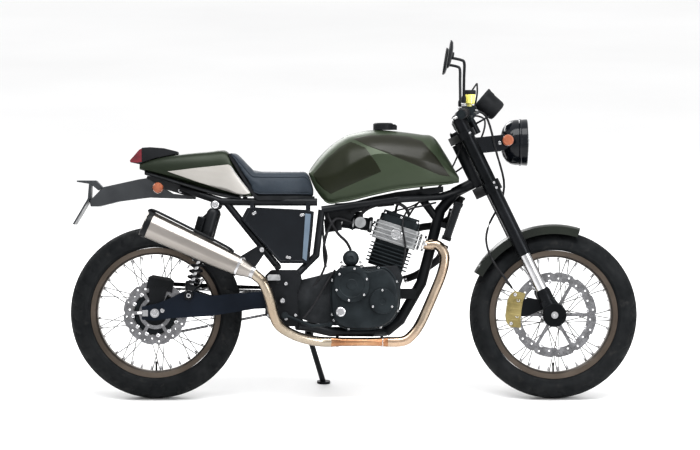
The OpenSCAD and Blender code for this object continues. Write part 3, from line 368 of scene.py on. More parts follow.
# %% [markdown]
# The paint is a muted green with a little metal flake under a thin clear coat. Its darker panels, the
# light tail panel and the mudguard have paints of their own.

# %% Paints and spokes
green = finish("green_paint", (0.030, 0.041, 0.024), (0.038, 0.050, 0.031), (0.34, 0.42), metal=0.3,
               blotch=4, grain=2600, strength=0.05, depth=0.0002, coat=0.1, coat_rough=0.3, specular=0.25)
dark_green = finish("dark_green_gloss", (0.005, 0.007, 0.001), (0.008, 0.010, 0.002), (0.34, 0.42),
                    metal=0.1, blotch=5, grain=2400, strength=0.04, coat=0.1,
                    coat_rough=0.2, specular=0.25)
beige = finish("beige_paint", (0.28, 0.268, 0.250), (0.33, 0.318, 0.300), (0.28, 0.38), blotch=5,
               grain=2000, strength=0.05, coat=0.3, coat_rough=0.15)
mudguard_gloss = finish("mudguard_gloss", (0.006, 0.008, 0.006), (0.011, 0.014, 0.010), (0.16, 0.24),
                        blotch=5, grain=2200, strength=0.04, coat=0.25, specular=0.25)
spoke_steel = finish("spoke_steel", (0.13, 0.13, 0.13), (0.22, 0.22, 0.22), (0.34, 0.46), metal=0.55,
                     blotch=60, grain=900, strength=0.08)
print("finishes so far:", len(bpy.data.materials))

# %% [markdown]
# ## Camera, light and floor
# A long lens looks straight at the machine's right side, square to its leaning middle plane, so the wheels
# stay round and the machine looks upright. A wide pale floor, an even pale sky and three soft lamps give
# gentle highlights along the tank without hard shadows.

# %% Camera
TARGET = Vector((693, 0, 620))
LENS, SPAN = 220, 2.506
camera_data = bpy.data.cameras.new("camera")
distance = SPAN * LENS / camera_data.sensor_width
camera_data.lens = LENS
camera = bpy.data.objects.new("camera", camera_data)
bpy.context.collection.objects.link(camera)
turn = Matrix((
    (1, 0, 0),
    (0, upward.y, -across.y),
    (0, upward.z, -across.z),
)).to_4x4()
camera.matrix_world = Matrix.Translation((machine @ TARGET) - across * distance) @ turn
bpy.context.scene.camera = camera
print("camera distance:", round(distance, 2))

# %% [markdown]
# The floor belongs to the studio and not to the machine, so it rides no body. The sky is a
# soft gradient, a little darker below.

# %% Floor and sky
FLOOR = 70
floor_mesh = bpy.data.meshes.new("floor")
floor_mesh.from_pydata([(-FLOOR, -FLOOR, 0), (FLOOR, -FLOOR, 0), (FLOOR, FLOOR, 0), (-FLOOR, FLOOR, 0)], [],
                       [(0, 1, 2, 3)])
floor_mesh.materials.append(finish("studio_floor", (0.86, 0.86, 0.86), (0.90, 0.90, 0.90), (0.7, 0.8),
                                   blotch=0.5, grain=40, strength=0.02))
floor = bpy.data.objects.new("floor", floor_mesh)
bpy.context.collection.objects.link(floor)

sky = bpy.data.worlds.new("studio")
bpy.context.scene.world = sky
sky.use_nodes = True
tree = sky.node_tree
way = tree.nodes.new("ShaderNodeTexCoord")
split = tree.nodes.new("ShaderNodeSeparateXYZ")
tree.links.new(way.outputs["Generated"], split.inputs[0])
height = between(tree, split.outputs["Z"], 0, 1, -0.05, 0.75)
tree.links.new(mixed(tree, height, (0.86, 0.86, 0.87), (1.0, 1.0, 1.0)),
               tree.nodes["Background"].inputs["Color"])
SKY_STRENGTH = 0.92
tree.nodes["Background"].inputs["Strength"].default_value = SKY_STRENGTH
print("sky strength:", SKY_STRENGTH)

# %% [markdown]
# Each lamp is a large rectangle, since a broad lamp gives a broad, soft highlight. One hangs over the
# machine, one stands in front of it on the right, and one on the far side keeps the left from going black.

# %% Lamps
def lamp(name, at, to, size, power):
    data = bpy.data.lights.new(name, "AREA")
    data.shape, data.size, data.size_y, data.energy = "RECTANGLE", size[0], size[1], power
    made = bpy.data.objects.new(name, data)
    bpy.context.collection.objects.link(made)
    made.location = at
    made.rotation_euler = (Vector(to) - Vector(at)).to_track_quat("-Z", "Y").to_euler()


lamp("overhead_lamp", (0.1, -1.2, 3.4), (0, 0, 0.6), (4.2, 1.6), 130)
lamp("front_lamp", (3.2, -3.0, 1.9), (0.3, 0, 0.6), (1.6, 2.2), 75)
lamp("far_lamp", (-1.5, 3.2, 2.4), (0, 0, 0.6), (3.0, 1.6), 70)
bpy.context.scene.view_settings.view_transform = "Standard"
bpy.context.scene.view_settings.look = "Medium High Contrast"
print("lamps:", len(bpy.data.lights))

# %% [markdown]
# ## Finishes on the pieces whose shape is already right
# Forks, hubs, discs, rims, spokes, frame tubes and other hard parts come in with their true shape, so they
# only need their finish put in the slot of their own mesh.

# %% Give the kept pieces their finish
def wear_finish(made, *names):
    for name in names:
        mesh = nodes[name].data
        mesh.materials.clear()
        mesh.materials.append(made)
        mesh.polygons.foreach_set("use_smooth", [True] * len(mesh.polygons))
        mesh.set_sharp_from_angle(angle=math.radians(30))


wear_finish(bronze, "front_rim", "rear_rim")
wear_finish(bright, "front_axle", "rear_axle")
wear_finish(spoke_steel, "front_spokes", "rear_spokes")
wear_finish(satin_black, "front_hub", "rear_hub", "frame", "cross_tubes", "stand_bracket", "subframe",
            "side_stand", "rear_caliper")
wear_finish(disc_steel, "front_disc", "rear_disc")
wear_finish(anodised, "yokes", "fork_tubes")
wear_finish(blue_black, "swingarm")
wear_finish(mudguard_gloss, "front_mudguard")
grey_plastic = finish("grey_plastic", (0.020, 0.022, 0.025), (0.032, 0.035, 0.038), (0.34, 0.46), blotch=10,
                      grain=620, strength=0.22, depth=0.0004, kind="cells", specular=0.4)
wear_finish(grey_plastic, "rear_mudguard")
wear_finish(moulded, "chain_guard", "filler_neck", "fuel_cap")
wear_finish(soft_rubber, "front_brake_hose")
wear_finish(cast_black, "handlebar", "hand_levers", "foot_levers")
print("kept pieces with a finish:", sum(1 for node in nodes.values() if node.data.materials))

# %% [markdown]
# ## Tyres
# A tyre is moulded with slanted grooves, and here a broken groove runs on each side of its middle. The
# tread is a fine grid turned about the axle, and each point of the grid sinks where a groove runs. Real
# geometry reads better than bump here, because the grooves show in the outline.

# %% Tyres with tread
GROOVES, GROOVE_DEEP, SCUFF_DEEP, CROWN_R = 36, 3.2, 0.4, 65.0


def in_groove(angle, t, lean_way):
    place = angle * (GROOVES / 2) / math.pi
    slanted = (place + lean_way * 0.9 * abs(t) + (0.5 if t > 0 else 0)) % 1 < 0.17 and 0.16 < abs(t) < 0.80
    middle = abs(abs(t) - 0.06) < 0.035 and place % 1 < 0.86
    return slanted or middle


def tyre(name, body, x, z, radius, width, rim_r, lean_way):
    around, steps = 288, 34
    half, crown = 0.5 * width, CROWN_R
    edge = math.asin(min(1, half / crown))
    rings = []
    for i in range(around):
        angle = 2 * math.pi * i / around
        ring = []
        for j in range(steps + 1):
            t = 2 * j / steps - 1
            r, y = radius - crown + crown * math.cos(edge * t), crown * math.sin(edge * t)
            sink = GROOVE_DEEP if in_groove(angle, t, lean_way) else SCUFF_DEEP
            ring.append((r - sink * math.cos(edge * t), y - sink * math.sin(edge * t)))
        bead = half - 16
        inner = [(rim_r + 22, half - 0.5), (rim_r + 19, half - 1.5), (rim_r + 10, half - 2.5),
                 (rim_r + 2, half - 8), (rim_r + 1, bead)]
        ring += inner + [(r, -y) for r, y in reversed(inner)]
        rings.append([(x + r * math.cos(angle), y, z + r * math.sin(angle)) for r, y in ring])
    shape = Shape()
    shape.rings(rings, loop=True)
    shape.make(name, [rubber], body, name, sharp=28)


FRONT_RIM_R, REAR_RIM_R = 229, 232
tyre("front_tyre", "front_wheel", WHEELBASE, FRONT_R, FRONT_R, 120, FRONT_RIM_R, 1)
tyre("rear_tyre", "rear_wheel", 0, REAR_R, REAR_R, 130, REAR_RIM_R, -1)

# %% [markdown]
# ## Bodywork
# The tank and the tail are pressed sheet metal. Their shape is a row of cross sections along the machine,
# joined by a skin. The tank's section has two curves that meet at a sharp crease, which rises from the
# rear, runs over the widest place and falls to the nose.

# %% Skins over cross sections
def smooth_rows(rows, steps):
    made = []
    for i in range(len(rows) - 1):
        for k in range(steps):
            made.append([curve_at(*four, k / steps) for four in zip(*neighbours(rows, i))])
    return made + [list(rows[-1])]


def arc(a, c, b, n):
    return [tuple((1 - t) ** 2 * p + 2 * t * (1 - t) * q + t * t * r for p, q, r in zip(a, c, b))
            for t in (k / n for k in range(n + 1))]


def whole_ring(x, half):
    return [(x, y, z) for y, z in half] + [(x, -y, z) for y, z in reversed(half[1:-1])]


print("points on a short arc:", len(arc((0, 0), (1, 0), (1, 1), 4)))

# %% [markdown]
# Each row of the tank is one cross section: its place along the machine, the heights of its lower edge, its
# crease and its top, and the widths there as shares of the widest place.

# %% The tank's cross sections
TANK_HALF = 138


def tank_ring(row):
    x, low, middle, top = row[:4]
    a, b, c = (TANK_HALF * share for share in row[4:])
    under = arc((a, low), (0.54 * (a + b), 0.55 * low + 0.45 * middle), (b, middle), 9)
    over = arc((b, middle), (1.06 * c, top - 2), (0, top), 11)
    return whole_ring(x, [(0, low - 0.8)] + under + over[1:])


TANK = [(546, 800, 806, 812, .36, .42, .30), (572, 744, 790, 850, .50, .60, .40),
        (612, 700, 790, 893, .60, .76, .50), (660, 703, 806, 929, .66, .88, .58),
        (700, 709, 832, 946, .72, .94, .64), (776, 728, 870, 960, .80, 1, .70),
        (860, 746, 868, 955, .80, .99, .70), (945, 757, 850, 944, .76, .90, .62),
        (992, 762, 838, 934, .68, .78, .52), (1036, 766, 822, 872, .56, .62, .44),
        (1082, 772, 786, 794, .40, .44, .34)]
tank_rings = [tank_ring(row) for row in smooth_rows(TANK, 8)]
print("tank sections:", len(tank_rings))

# %% [markdown]
# The knee panel and the tail's light panel are flush areas in another colour. Each is a thin patch laid on
# the skin: a grid between two outlines, whose points take their width from the skin below them.

# %% Widths of a skin and shares of an outline
def side_y(rings, x, z):
    for first, second in zip(rings, rings[1:]):
        if first[0][0] <= x <= second[0][0]:
            t = (x - first[0][0]) / (second[0][0] - first[0][0])
            widths = []
            for ring in (first, second):
                width = 0
                for p, q in zip(ring, ring[1:]):
                    if min(p[2], q[2]) <= z <= max(p[2], q[2]) and p[2] != q[2]:
                        s = (z - p[2]) / (q[2] - p[2])
                        width = max(width, p[1] + s * (q[1] - p[1]))
                widths.append(width or max(p[1] for p in ring) * 0.5)
            return (1 - t) * widths[0] + t * widths[1]
    return 0


def share_of(chain, t):
    lengths = [math.dist(p, q) for p, q in zip(chain, chain[1:])]
    rest = t * sum(lengths)
    for (p, q), length in zip(zip(chain, chain[1:]), lengths):
        if rest <= length:
            return [a + (b - a) * rest / length for a, b in zip(p, q)]
        rest -= length
    return chain[-1]


print("tank half width at the crease:", round(side_y(tank_rings, 776, 870), 1))

# %% [markdown]
# The patch itself is a grid. Its border sinks a little into the skin, so no edge stands open, and its other
# points stand a little proud.

# %% A patch
def patch(shape, rings, upper, lower, rise=1.2, n=56, m=16, look=0):
    for side in (1, -1):
        points = []
        for i in range(n + 1):
            low, high = share_of(lower, i / n), share_of(upper, i / n)
            for j in range(m + 1):
                x, z = (a + (b - a) * j / m for a, b in zip(low, high))
                lift = -0.5 if j in (0, m) or i in (0, n) else rise
                points.append((x, side * (side_y(rings, x, z) + lift), z))
        shape.add(points, [(a, a + 1, a + m + 2, a + m + 1) for i in range(n) for j in range(m)
                           for a in [i * (m + 1) + j]], look)


print("patch helper ready")

# %% [markdown]
# Each side of the tank has two dark panels, which are patches on its skin: one at the knee and one at the
# upper front. A thin bead follows the welded seam along the lower edge.

# %% Fuel tank
tank = Shape()
tank.rings(tank_rings)
KNEE_TOP = [(560, 800), (612, 862), (662, 905), (695, 922), (747, 898), (778, 856), (804, 810)]
KNEE_LOW = [(560, 800), (575, 770), (600, 744), (624, 727), (700, 762), (770, 794), (804, 810)]
FLANK_TOP = [(704, 928), (760, 941), (830, 943), (900, 938), (950, 920), (1002, 862), (1050, 792)]
FLANK_LOW = [(704, 928), (750, 903), (815, 877), (870, 854), (950, 822), (1010, 798), (1050, 792)]
patch(tank, tank_rings, KNEE_TOP, KNEE_LOW, look=1)
patch(tank, tank_rings, FLANK_TOP, FLANK_LOW, look=2)
seam = [(r[0][0], r[0][2] + 2, max(p[1] for p in r[:6])) for r in tank_rings[14:-4]]
for side in (1, -1):
    tank.tube([(x, side * (y + 0.5), z) for x, z, y in seam], 2.6, 8)
umber = finish("umber_gloss", (0.008, 0.008, 0.004), (0.012, 0.012, 0.006), (0.34, 0.42), blotch=5,
               grain=2400, strength=0.04, coat=0.1, coat_rough=0.2, specular=0.25)
tank.make("fuel_tank_shell", [green, dark_green, umber], "chassis", "fuel_tank", sharp=24)

# %% [markdown]
# The seat's tail cover has a light panel on each side, with a bright strip where it meets the seat. The
# tail light is a faceted lens in a black housing under the cover's end.

# %% Tail cover
SEAT_HALF = 124


def pad_ring(row, inset=0.0):
    x, low, top, share = row
    low, top, width = low + inset, top - inset, SEAT_HALF * share - inset
    side = arc((width, low + 0.12 * (top - low)), (width, top), (0.62 * width, top - 0.02 * (top - low)), 9)
    return whole_ring(x, [(0, low - 0.8), (0.5 * width, low - 0.3), (0.8 * width, low)] + side
                      + [(0.3 * width, top - 0.006 * (top - low)), (0, top)])


COWL = [(-58, 819, 838, .42), (0, 802, 857, .58), (72, 780, 871, .72), (185, 747, 883, .86),
        (252, 731, 884, .94), (286, 722, 826, .98), (318, 722, 774, .99), (342, 722, 736, 1)]
cowl_rings = [pad_ring(row) for row in smooth_rows(COWL, 8)]
cover = Shape()
cover.rings(cowl_rings)
FRONT_EDGE = [(264, 836), (286, 804), (318, 762), (341, 733)]
patch(cover, cowl_rings, [(42, 811), (150, 824)] + FRONT_EDGE,
      [(42, 811), (160, 769), (240, 744), (291, 729), (320, 728), (341, 733)], rise=2.2, m=32, look=1)
for side in (1, -1):
    edge = [share_of(FRONT_EDGE, k / 18) for k in range(1, 19)]
    cover.tube([(x, side * (side_y(cowl_rings, x, z) + 1.0), z) for x, z in edge], 2.2, 8, look=2)
UNDER = [(-40, 800, 815, .44), (0, 790, 804, .56), (72, 768, 783, .70), (185, 734, 750, .84),
         (252, 718, 734, .92), (300, 712, 724, .95)]
cover.rings([pad_ring(row) for row in smooth_rows(UNDER, 4)], 3)
tail_green = finish("tail_paint", (0.012, 0.017, 0.010), (0.017, 0.023, 0.014), (0.36, 0.44), metal=0.3,
                    blotch=4, grain=2600, strength=0.05, depth=0.0002, coat=0.1, coat_rough=0.3,
                    specular=0.2)
cover.make("tail_cover", [tail_green, beige, bright, moulded], "chassis", "tail_cowl", sharp=34)

# %% [markdown]
# Lens plastic is coloured all through and moulded with small cells that scatter the lamp's light. The
# red lens closes the rear of a black housing, with a lip of the housing under it. All three are prisms with
# rounded edges.

# %% Tail light
lens_red = finish("red_lens", (0.07, 0.003, 0.008), (0.13, 0.006, 0.014), (0.12, 0.20), blotch=60,
                  grain=260, strength=0.35, depth=0.0008, kind="cells", coat=0.4)
lens_orange = finish("orange_lens", (0.19, 0.055, 0.024), (0.28, 0.09, 0.042), (0.12, 0.20), blotch=60,
                     grain=300, strength=0.35, depth=0.0008, kind="cells", coat=0.4)
light = Shape()
light.prism([(-94, 850), (-60, 889), (-49, 895), (-49, 844), (-66, 840), (-90, 843)], -43, 43)
light.prism([(-50, 896), (-20, 898), (30, 894), (78, 882), (80, 872), (67, 871.5), (0, 858.5), (-50, 842)],
            -46, 46, 1)
light.prism([(-92, 844), (-62, 838), (-46, 841), (-46, 846), (-66, 843)], -45, 45, 1)
light.make("tail_light_unit", [lens_red, moulded], "chassis", "tail_light", bevel=3)

# %% [markdown]
# ## Seat
# A cafe racer's seat is firm foam under stretched vinyl. The cover is sewn from a top panel and side
# panels, so a welt runs around the top edge and stitched channels cross the top. The foam is swollen a
# little by a cloth simulation, in which the rows of stitching are held back, so the cover bulges gently
# between them.

# %% Vinyl
vinyl, tree, shader = nodes_of("seat_vinyl")
tone = between(tree, field(tree, "noise", 7), 0, 1)
tree.links.new(mixed(tree, tone, (0.012, 0.018, 0.026), (0.018, 0.026, 0.036)), shader.inputs["Base Color"])
leather = bumped(tree, between(tree, field(tree, "cells", 620), 0, 1, 0.0, 0.10), 0.32, 0.0005)
tree.links.new(bumped(tree, field(tree, "noise", 26, detail=6), 0.22, 0.0018, leather),
               shader.inputs["Normal"])
tree.links.new(between(tree, field(tree, "noise", 18), 0.46, 0.60), shader.inputs["Roughness"])
shader.inputs["Sheen Weight"].default_value = 0.08
shader.inputs["Specular IOR Level"].default_value = 0.28
thread = finish("seat_thread", (0.020, 0.026, 0.034), (0.035, 0.042, 0.052), (0.6, 0.8), blotch=300,
                grain=2600, strength=0.5, kind="bands")
print("finishes so far:", len(bpy.data.materials))

# %% [markdown]
# The foam is a skin over cross sections, high at the back and flat in front of it. It starts a little
# smaller than the finished seat, which leaves room for the swelling.

# %% Foam
SEAT = [(262, 874, 884, .80), (280, 850, 879, .88), (305, 808, 856, .94), (334, 762, 826, .98),
        (358, 722, 815, 1), (440, 720, 813, 1), (500, 720, 812, .86), (540, 720, 808, .66),
        (562, 720, 752, .56)]
CHANNELS = (372, 408, 444, 480, 516)
foam = Shape()
seat_rings = [pad_ring(row, inset=2.5) for row in smooth_rows(SEAT, 6)]
foam.rings(seat_rings)
seat = foam.make("seat_cushion", [vinyl], "chassis", "seat")

# %% [markdown]
# The simulation needs an even mesh, so a voxel remesh comes first. Then air pressure pushes the cover out
# for a few frames while the pinned points stay where they are. Pressure alone could move the middle of a
# free area much too far, so each move is kept below a limit: small moves hardly change, large ones
# approach the limit and never pass it.

# %% A helper that swells a cover
GRID, PRESSURE, STIFFNESS, FRAMES = 0.0055, 4, 30, 20


def swell(piece, pins, cap):
    remesh = piece.modifiers.new("even", "REMESH")
    remesh.mode, remesh.voxel_size = "VOXEL", GRID
    cloth_mesh = bpy.data.meshes.new_from_object(piece.evaluated_get(bpy.context.evaluated_depsgraph_get()))
    piece.modifiers.clear()
    finishes = list(piece.data.materials)
    piece.data = cloth_mesh
    cloth_mesh.materials.clear()
    for made in finishes:
        cloth_mesh.materials.append(made)
    before = [v.co.copy() for v in cloth_mesh.vertices]
    held = piece.vertex_groups.new(name="held")
    for v in cloth_mesh.vertices:
        held.add([v.index], pins(v.co), "REPLACE")
    cloth = piece.modifiers.new("cover", "CLOTH")
    cloth.settings.vertex_group_mass = "held"
    cloth.settings.use_pressure = True
    cloth.settings.uniform_pressure_force = PRESSURE
    cloth.settings.effector_weights.gravity = 0
    cloth.settings.tension_stiffness = STIFFNESS
    cloth.point_cache.frame_end = FRAMES
    for frame_number in range(1, FRAMES + 1):
        bpy.context.scene.frame_set(frame_number)
    swollen = bpy.data.meshes.new_from_object(
        piece.evaluated_get(bpy.context.evaluated_depsgraph_get()))
    moves = [after.co - old for after, old in zip(swollen.vertices, before)]
    piece.modifiers.clear()
    piece.vertex_groups.clear()
    bpy.context.scene.frame_set(1)
    for v, old, move in zip(cloth_mesh.vertices, before, moves):
        v.co = old + move * cap / (cap + move.length)
    largest = max(move.length for move in moves)
    print("cloth swelling kept:", round(largest * cap / (cap + largest) / MM, 1), "mm")
    cloth_mesh.polygons.foreach_set("use_smooth", [True] * len(cloth_mesh.polygons))
    relax = piece.modifiers.new("relax", "SMOOTH")
    relax.factor, relax.iterations = 0.5, 4


print("swelling helper ready:", FRAMES, "frames at pressure", PRESSURE)

# %% [markdown]
# The lower edge, the front end and a narrow band at each stitched channel are pinned, and everything
# between them is free.

# %% Pins along the seams, then the swelling
SWELL_LIMIT = 0.007
to_machine = machine.inverted()


def seat_pins(point):
    p = to_machine @ point
    near = min(abs(p.x - x) for x in CHANNELS)
    return 1.0 if p.z < 728 or p.x > 552 or (near < 4 and p.z > 790) else 0.0


swell(seat, seat_pins, SWELL_LIMIT)

# %% [markdown]
# A welt is a cord sewn into the seam, so it's a thin tube laid on the cover. Each of its points is
# moved to the nearest spot of the swollen surface, and so is each line of stitching.

# %% Welts and stitched channels
from mathutils.bvhtree import BVHTree

depsgraph = bpy.context.evaluated_depsgraph_get()
cover_tree = BVHTree.FromObject(seat, depsgraph)


def on_cover(x, y, z, rise):
    spot, normal, _, _ = cover_tree.find_nearest(machine @ Vector((x, y, z)))
    return to_machine @ spot + rise * (to_machine.to_3x3() @ normal).normalized()


seams = Shape()
rows = smooth_rows(SEAT, 6)
for side in (1, -1):
    welt = [on_cover(x, side * SEAT_HALF * share * 0.93, low + 0.80 * (top - low), 0.6)
            for x, low, top, share in rows[2:-2]]
    seams.tube(welt, 2.6, 8)
    lower_welt = [on_cover(x, side * SEAT_HALF * share, low + 7, 0.4) for x, low, top, share in rows[22:-2]]
    seams.tube(lower_welt, 2.0, 8)
for x in CHANNELS:
    shape_row = min(rows, key=lambda r: abs(r[0] - x))
    width = SEAT_HALF * shape_row[3] * 0.86
    line = [on_cover(x, width * (k / 12 - 1), 812, -0.2) for k in range(25)]
    seams.tube(line, 1.0, 6, look=1)
seams.make("seat_seams", [vinyl, thread], "chassis")

# %% [markdown]
# Under the foam is a moulded tray. It's a slab with small chamfers that follows the foam's lower side.

# %% Seat base
def slab_ring(row):
    x, low, top, share = row
    w = SEAT_HALF * share
    return [(x, y, z) for y, z in ((w - 3, low), (w, low + 2), (w, top - 2), (w - 3, top),
                                   (3 - w, top), (-w, top - 2), (-w, low + 2), (3 - w, low))]


base = Shape()
BASE = [(262, 862, 876, .79), (282, 830, 851, .86), (305, 792, 812, .92), (334, 746, 766, .96),
        (352, 716, 736, .98), (366, 706, 724, .98), (440, 706, 724, .98), (500, 706, 724, .86),
        (540, 706, 723, .68), (566, 706, 722, .58)]
base.rings([slab_ring(row) for row in BASE])
base.make("seat_base", [moulded], "chassis")
print("seat base:", len(BASE), "sections")

# %% [markdown]
# ## Engine
# The cylinder and its head are finned castings: thin plates with rounded corners around a barrel, black
# on the barrel and bare metal on the head. The covers are crowned castings held by a row of socket bolts,
# and the crankcase halves behind them meet at a seam.

# %% Outlines and cast covers
def rounded(x0, x1, y0, y1, r, steps=5):
    corners = [(x1 - r, y1 - r, 0), (x0 + r, y1 - r, 90), (x0 + r, y0 + r, 180), (x1 - r, y0 + r, 270)]
    turns = [(x, y, math.radians(a + 90 * k / steps)) for x, y, a in corners for k in range(steps + 1)]
    return [(x + r * math.cos(t), y + r * math.sin(t)) for x, y, t in turns]


def closed_curve(points, steps=5):
    n = len(points)
    wrapped = [points[-1]] + list(points) + [points[0], points[1]]
    return [tuple(row) for row in smooth_rows(wrapped, steps)[steps:-steps - 1]][: n * steps]


def shrunk(outline, share):
    cx = sum(p[0] for p in outline) / len(outline)
    cz = sum(p[1] for p in outline) / len(outline)
    return [(cx + (x - cx) * share, cz + (z - cz) * share) for x, z in outline]


def cover_casting(shape, outline, y0, y1, look=0):
    out = 1 if y1 > y0 else -1
    deep = abs(y1 - y0)
    levels = [(1.0, 0), (1.0, 6), (0.965, 8), (0.955, 0.62 * deep), (0.93, 0.85 * deep), (0.87, 0.97 * deep),
              (0.6, deep), (0.2, deep)]
    shape.rings([[(x, y0 + out * h, z) for x, z in shrunk(outline, share)] for share, h in levels], look)


def stack(shape, outline, z0, z1, look=0):
    shape.rings([[(x, y, z) for x, y in outline] for z in (z0, z1)], look)


print("points around a rounded plate:", len(rounded(-1, 1, -1, 1, 0.2)))

# %% [markdown]
# Each fin is one plate with rounded corners, so a loop stacks them up the barrel and then up the head.
# Everything leans forward with the cylinder, which one matrix takes care of.

# %% Cylinder and head
CYLINDER_FOOT, CYLINDER_TILT = (812, 0, 462), math.radians(18)
tilt = Matrix.Translation(CYLINDER_FOOT) @ Matrix.Rotation(CYLINDER_TILT, 4, "Y")
barrel = Shape(tilt)
stack(barrel, rounded(-60, 66, -60, 60, 22), 4, 100)
for k in range(6):
    stack(barrel, rounded(-72, 80, -76, 76, 20), 14 + 13 * k, 19 + 13 * k)
barrel.make("barrel_fins", [cast_black], "chassis", "cylinder", bevel=1.4)
head = Shape(tilt)
stack(head, rounded(-76, 84, -70, 70, 16), 98, 166)
for k in range(4):
    stack(head, rounded(-86, 96, -84, 84, 14), 102 + 16 * k, 107 + 16 * k)
stack(head, rounded(-68, 76, -64, 64, 20), 166, 192, 2)
stack(head, rounded(-62, 70, -58, 58, 26), 192, 206, 2)
for x, y in ((-56, -54), (64, -54), (-56, 54), (64, 54), (4, -60), (4, 60)):
    head.bolt((x, y, 192), (0, 0, 1), 6.5, 7, 1)
for y in (-1, 1):
    head.turned([(22, 0), (22, 5), (18, 8), (10, 9), (10, 4)], (6, y * 70, 134), (0, y, 0), 24, 1)
head.turned([(30, 0), (30, 8), (24, 9)], (88, -36, 132), (1, 0, 0), 32, 0)
head.make("head_casting", [fin_metal, bright, cast_black], "chassis", bevel=1.4)

# %% [markdown]
# The case is an outline given a thickness, with a thin rib at the seam between its halves.

# %% Crankcase
case = Shape()
CASE = [(482, 300), (482, 392), (524, 424), (700, 468), (860, 476), (882, 430), (872, 400), (872, 350),
        (862, 326), (836, 280), (640, 262), (560, 272)]
case.prism(CASE, -102, 74)
case.prism([(560, 300), (560, 420), (620, 450), (700, 468), (830, 472), (866, 420), (862, 330), (830, 280),
            (640, 268)], 74, 104)
case.prism(shrunk(CASE, 1.012), -14, -8)
for x in (600, 690, 780):
    case.block((x - 4, -96, 256), (x + 4, 96, 270))
case.turned([(22.2, -3.5), (27, -3), (27, 3), (22.2, 3.5)], (510, 88, 350), (0, 1, 0), 40, 1)
case.turned([(12, 0), (12, 22), (9, 24)], (510, 74, 350), (0, 1, 0), 24, 1)
case.bolt((510, 97, 350), (0, 1, 0), 11, 6, 1)
case.make("crankcase_halves", [cast_dark, bright], "chassis", "crankcase", bevel=2.2)

# %% [markdown]
# A cover is an outline that shrinks step by step as it rises, with a bolt and its boss at every few
# points. There is a large one on the right over the clutch, and two on the left over the alternator and the
# front sprocket. Round caps with small bolts of their own are set on them.

# %% Covers with their bosses and bolts
RIGHT = [(626, 300), (622, 400), (640, 450), (672, 476), (726, 476), (760, 462), (820, 470), (862, 420),
         (872, 340), (846, 280), (790, 250), (700, 246), (650, 262)]
LEFT = [(660, 300), (652, 380), (680, 440), (740, 462), (810, 450), (856, 390), (850, 310), (800, 272),
        (700, 272)]
DRIVE = [(494, 300), (489, 350), (494, 398), (530, 410), (600, 404), (640, 360), (632, 300), (580, 284),
         (520, 284)]
covers = Shape()
right, left, drive = (closed_curve(points) for points in (RIGHT, LEFT, DRIVE))
cover_casting(covers, right, -102.2, -134)
cover_casting(covers, left, 104.2, 128)
cover_casting(covers, drive, 104.2, 120)
for outline, y, out in ((right, -110, -1), (left, 112, 1), (drive, 112, 1)):
    ring = shrunk(outline, 0.972)
    for k in range(0, len(ring), 7 if outline is right else 9):
        covers.turned([(8, -5), (8, 1), (6.5, 2)], (ring[k][0], y, ring[k][1]), (0, out, 0), 14)
        covers.bolt((ring[k][0], y + out * 1.5, ring[k][1]), (0, out, 0), 4.6, 5, 1)
covers.turned([(65, 0), (65, 11), (62, 15), (52, 17.5), (46, 17.5), (44, 15.5), (20, 15.5), (17, 18),
               (1, 18.5)], (699, -133, 409), (0, -1, 0), 72)
for k in range(6):
    a = math.radians(60 * k + 20)
    covers.bolt((699 + 57 * math.cos(a), -148, 409 + 57 * math.sin(a)), (0, -1, 0), 4.6, 5, 1)
covers.turned([(46, 0), (46, 7), (43, 10), (34, 11), (12, 11), (10, 9), (1, 9)], (808, -133, 350), (0, -1, 0),
              56)
for k in range(3):
    a = math.radians(120 * k + 90)
    covers.bolt((808 + 39 * math.cos(a), -143, 350 + 39 * math.sin(a)), (0, -1, 0), 4.4, 4, 1)
covers.turned([(17, 0), (17, 9), (13, 11), (13, 8), (2, 8)], (660, -131, 312), (0, -1, 0), 20, 1)
covers.turned([(62, 0), (62, 8), (58, 12), (20, 13), (18, 11), (1, 11)], (756, 127, 366), (0, 1, 0), 64)
covers.turned([(28, 0), (29, 6), (29, 96), (27, 108), (20, 116), (10, 120), (9, 117)], (696, -11, 501),
              (0, -1, 0), 40)
for k in range(2):
    covers.bolt((696 + (34 if k else -34), -36, 487), (0, -1, 0), 5, 6, 1)
covers.make("engine_cover_castings", [cast_black, bright], "chassis", "engine_covers",
            bevel=0.8)

# %% [markdown]
# The intake is a throttle body clamped between two rubber sleeves, with a pulley and a sensor beside it.
# The radiator hangs in front: a core of thin flat tubes with zigzag fins between two black tanks.

# %% Throttle body
def tilted(x, y, z):
    return tilt @ Vector((x, y, z))


flange, intake = tilted(-86, -18, 138), tilted(-104, -18, 138)
back = (Vector((-112, 0, 15))).normalized()
body = Shape()
body.turned([(27, 0), (27, 6), (25, 7), (27, 9), (27, 13), (25, 15), (23, 16), (23, 40), (21, 41), (21, 60),
             (24, 62), (24, 68), (26, 70), (26, 76), (24, 78), (24, 108)], flange, back, 36)
body.turned([(20, 0), (20, 4), (6, 5), (6, 14), (1, 14)], (intake.x - 26, -60, intake.z + 4), (0, -1, 0), 32,
            1)
body.tube([(intake.x - 26, 24, intake.z + 4), (intake.x - 26, 44, intake.z + 6)], 12, 20)
body.tube([intake + Vector((-30, 0, 4)), intake + Vector((-30, 0, 42))], 14, 24)
body.block((intake.x - 108, -62, intake.z - 24), (intake.x - 92, 52, intake.z + 24))
for at in (7, 68):
    body.turned([(27.5, -3), (28.5, -3), (28.5, 3), (27.5, 3)], flange + back * at, back, 36, 1, loop=True)
body.make("throttle_assembly", [moulded, peg_metal], "chassis", "throttle_body", bevel=0.8)

# %% [markdown]
# The core is too fine to model fin by fin, so its zigzag fins are a banded bump and only the flat tubes
# between them are real. The two tanks, the side plates, the filler and a bracket are plain solids.

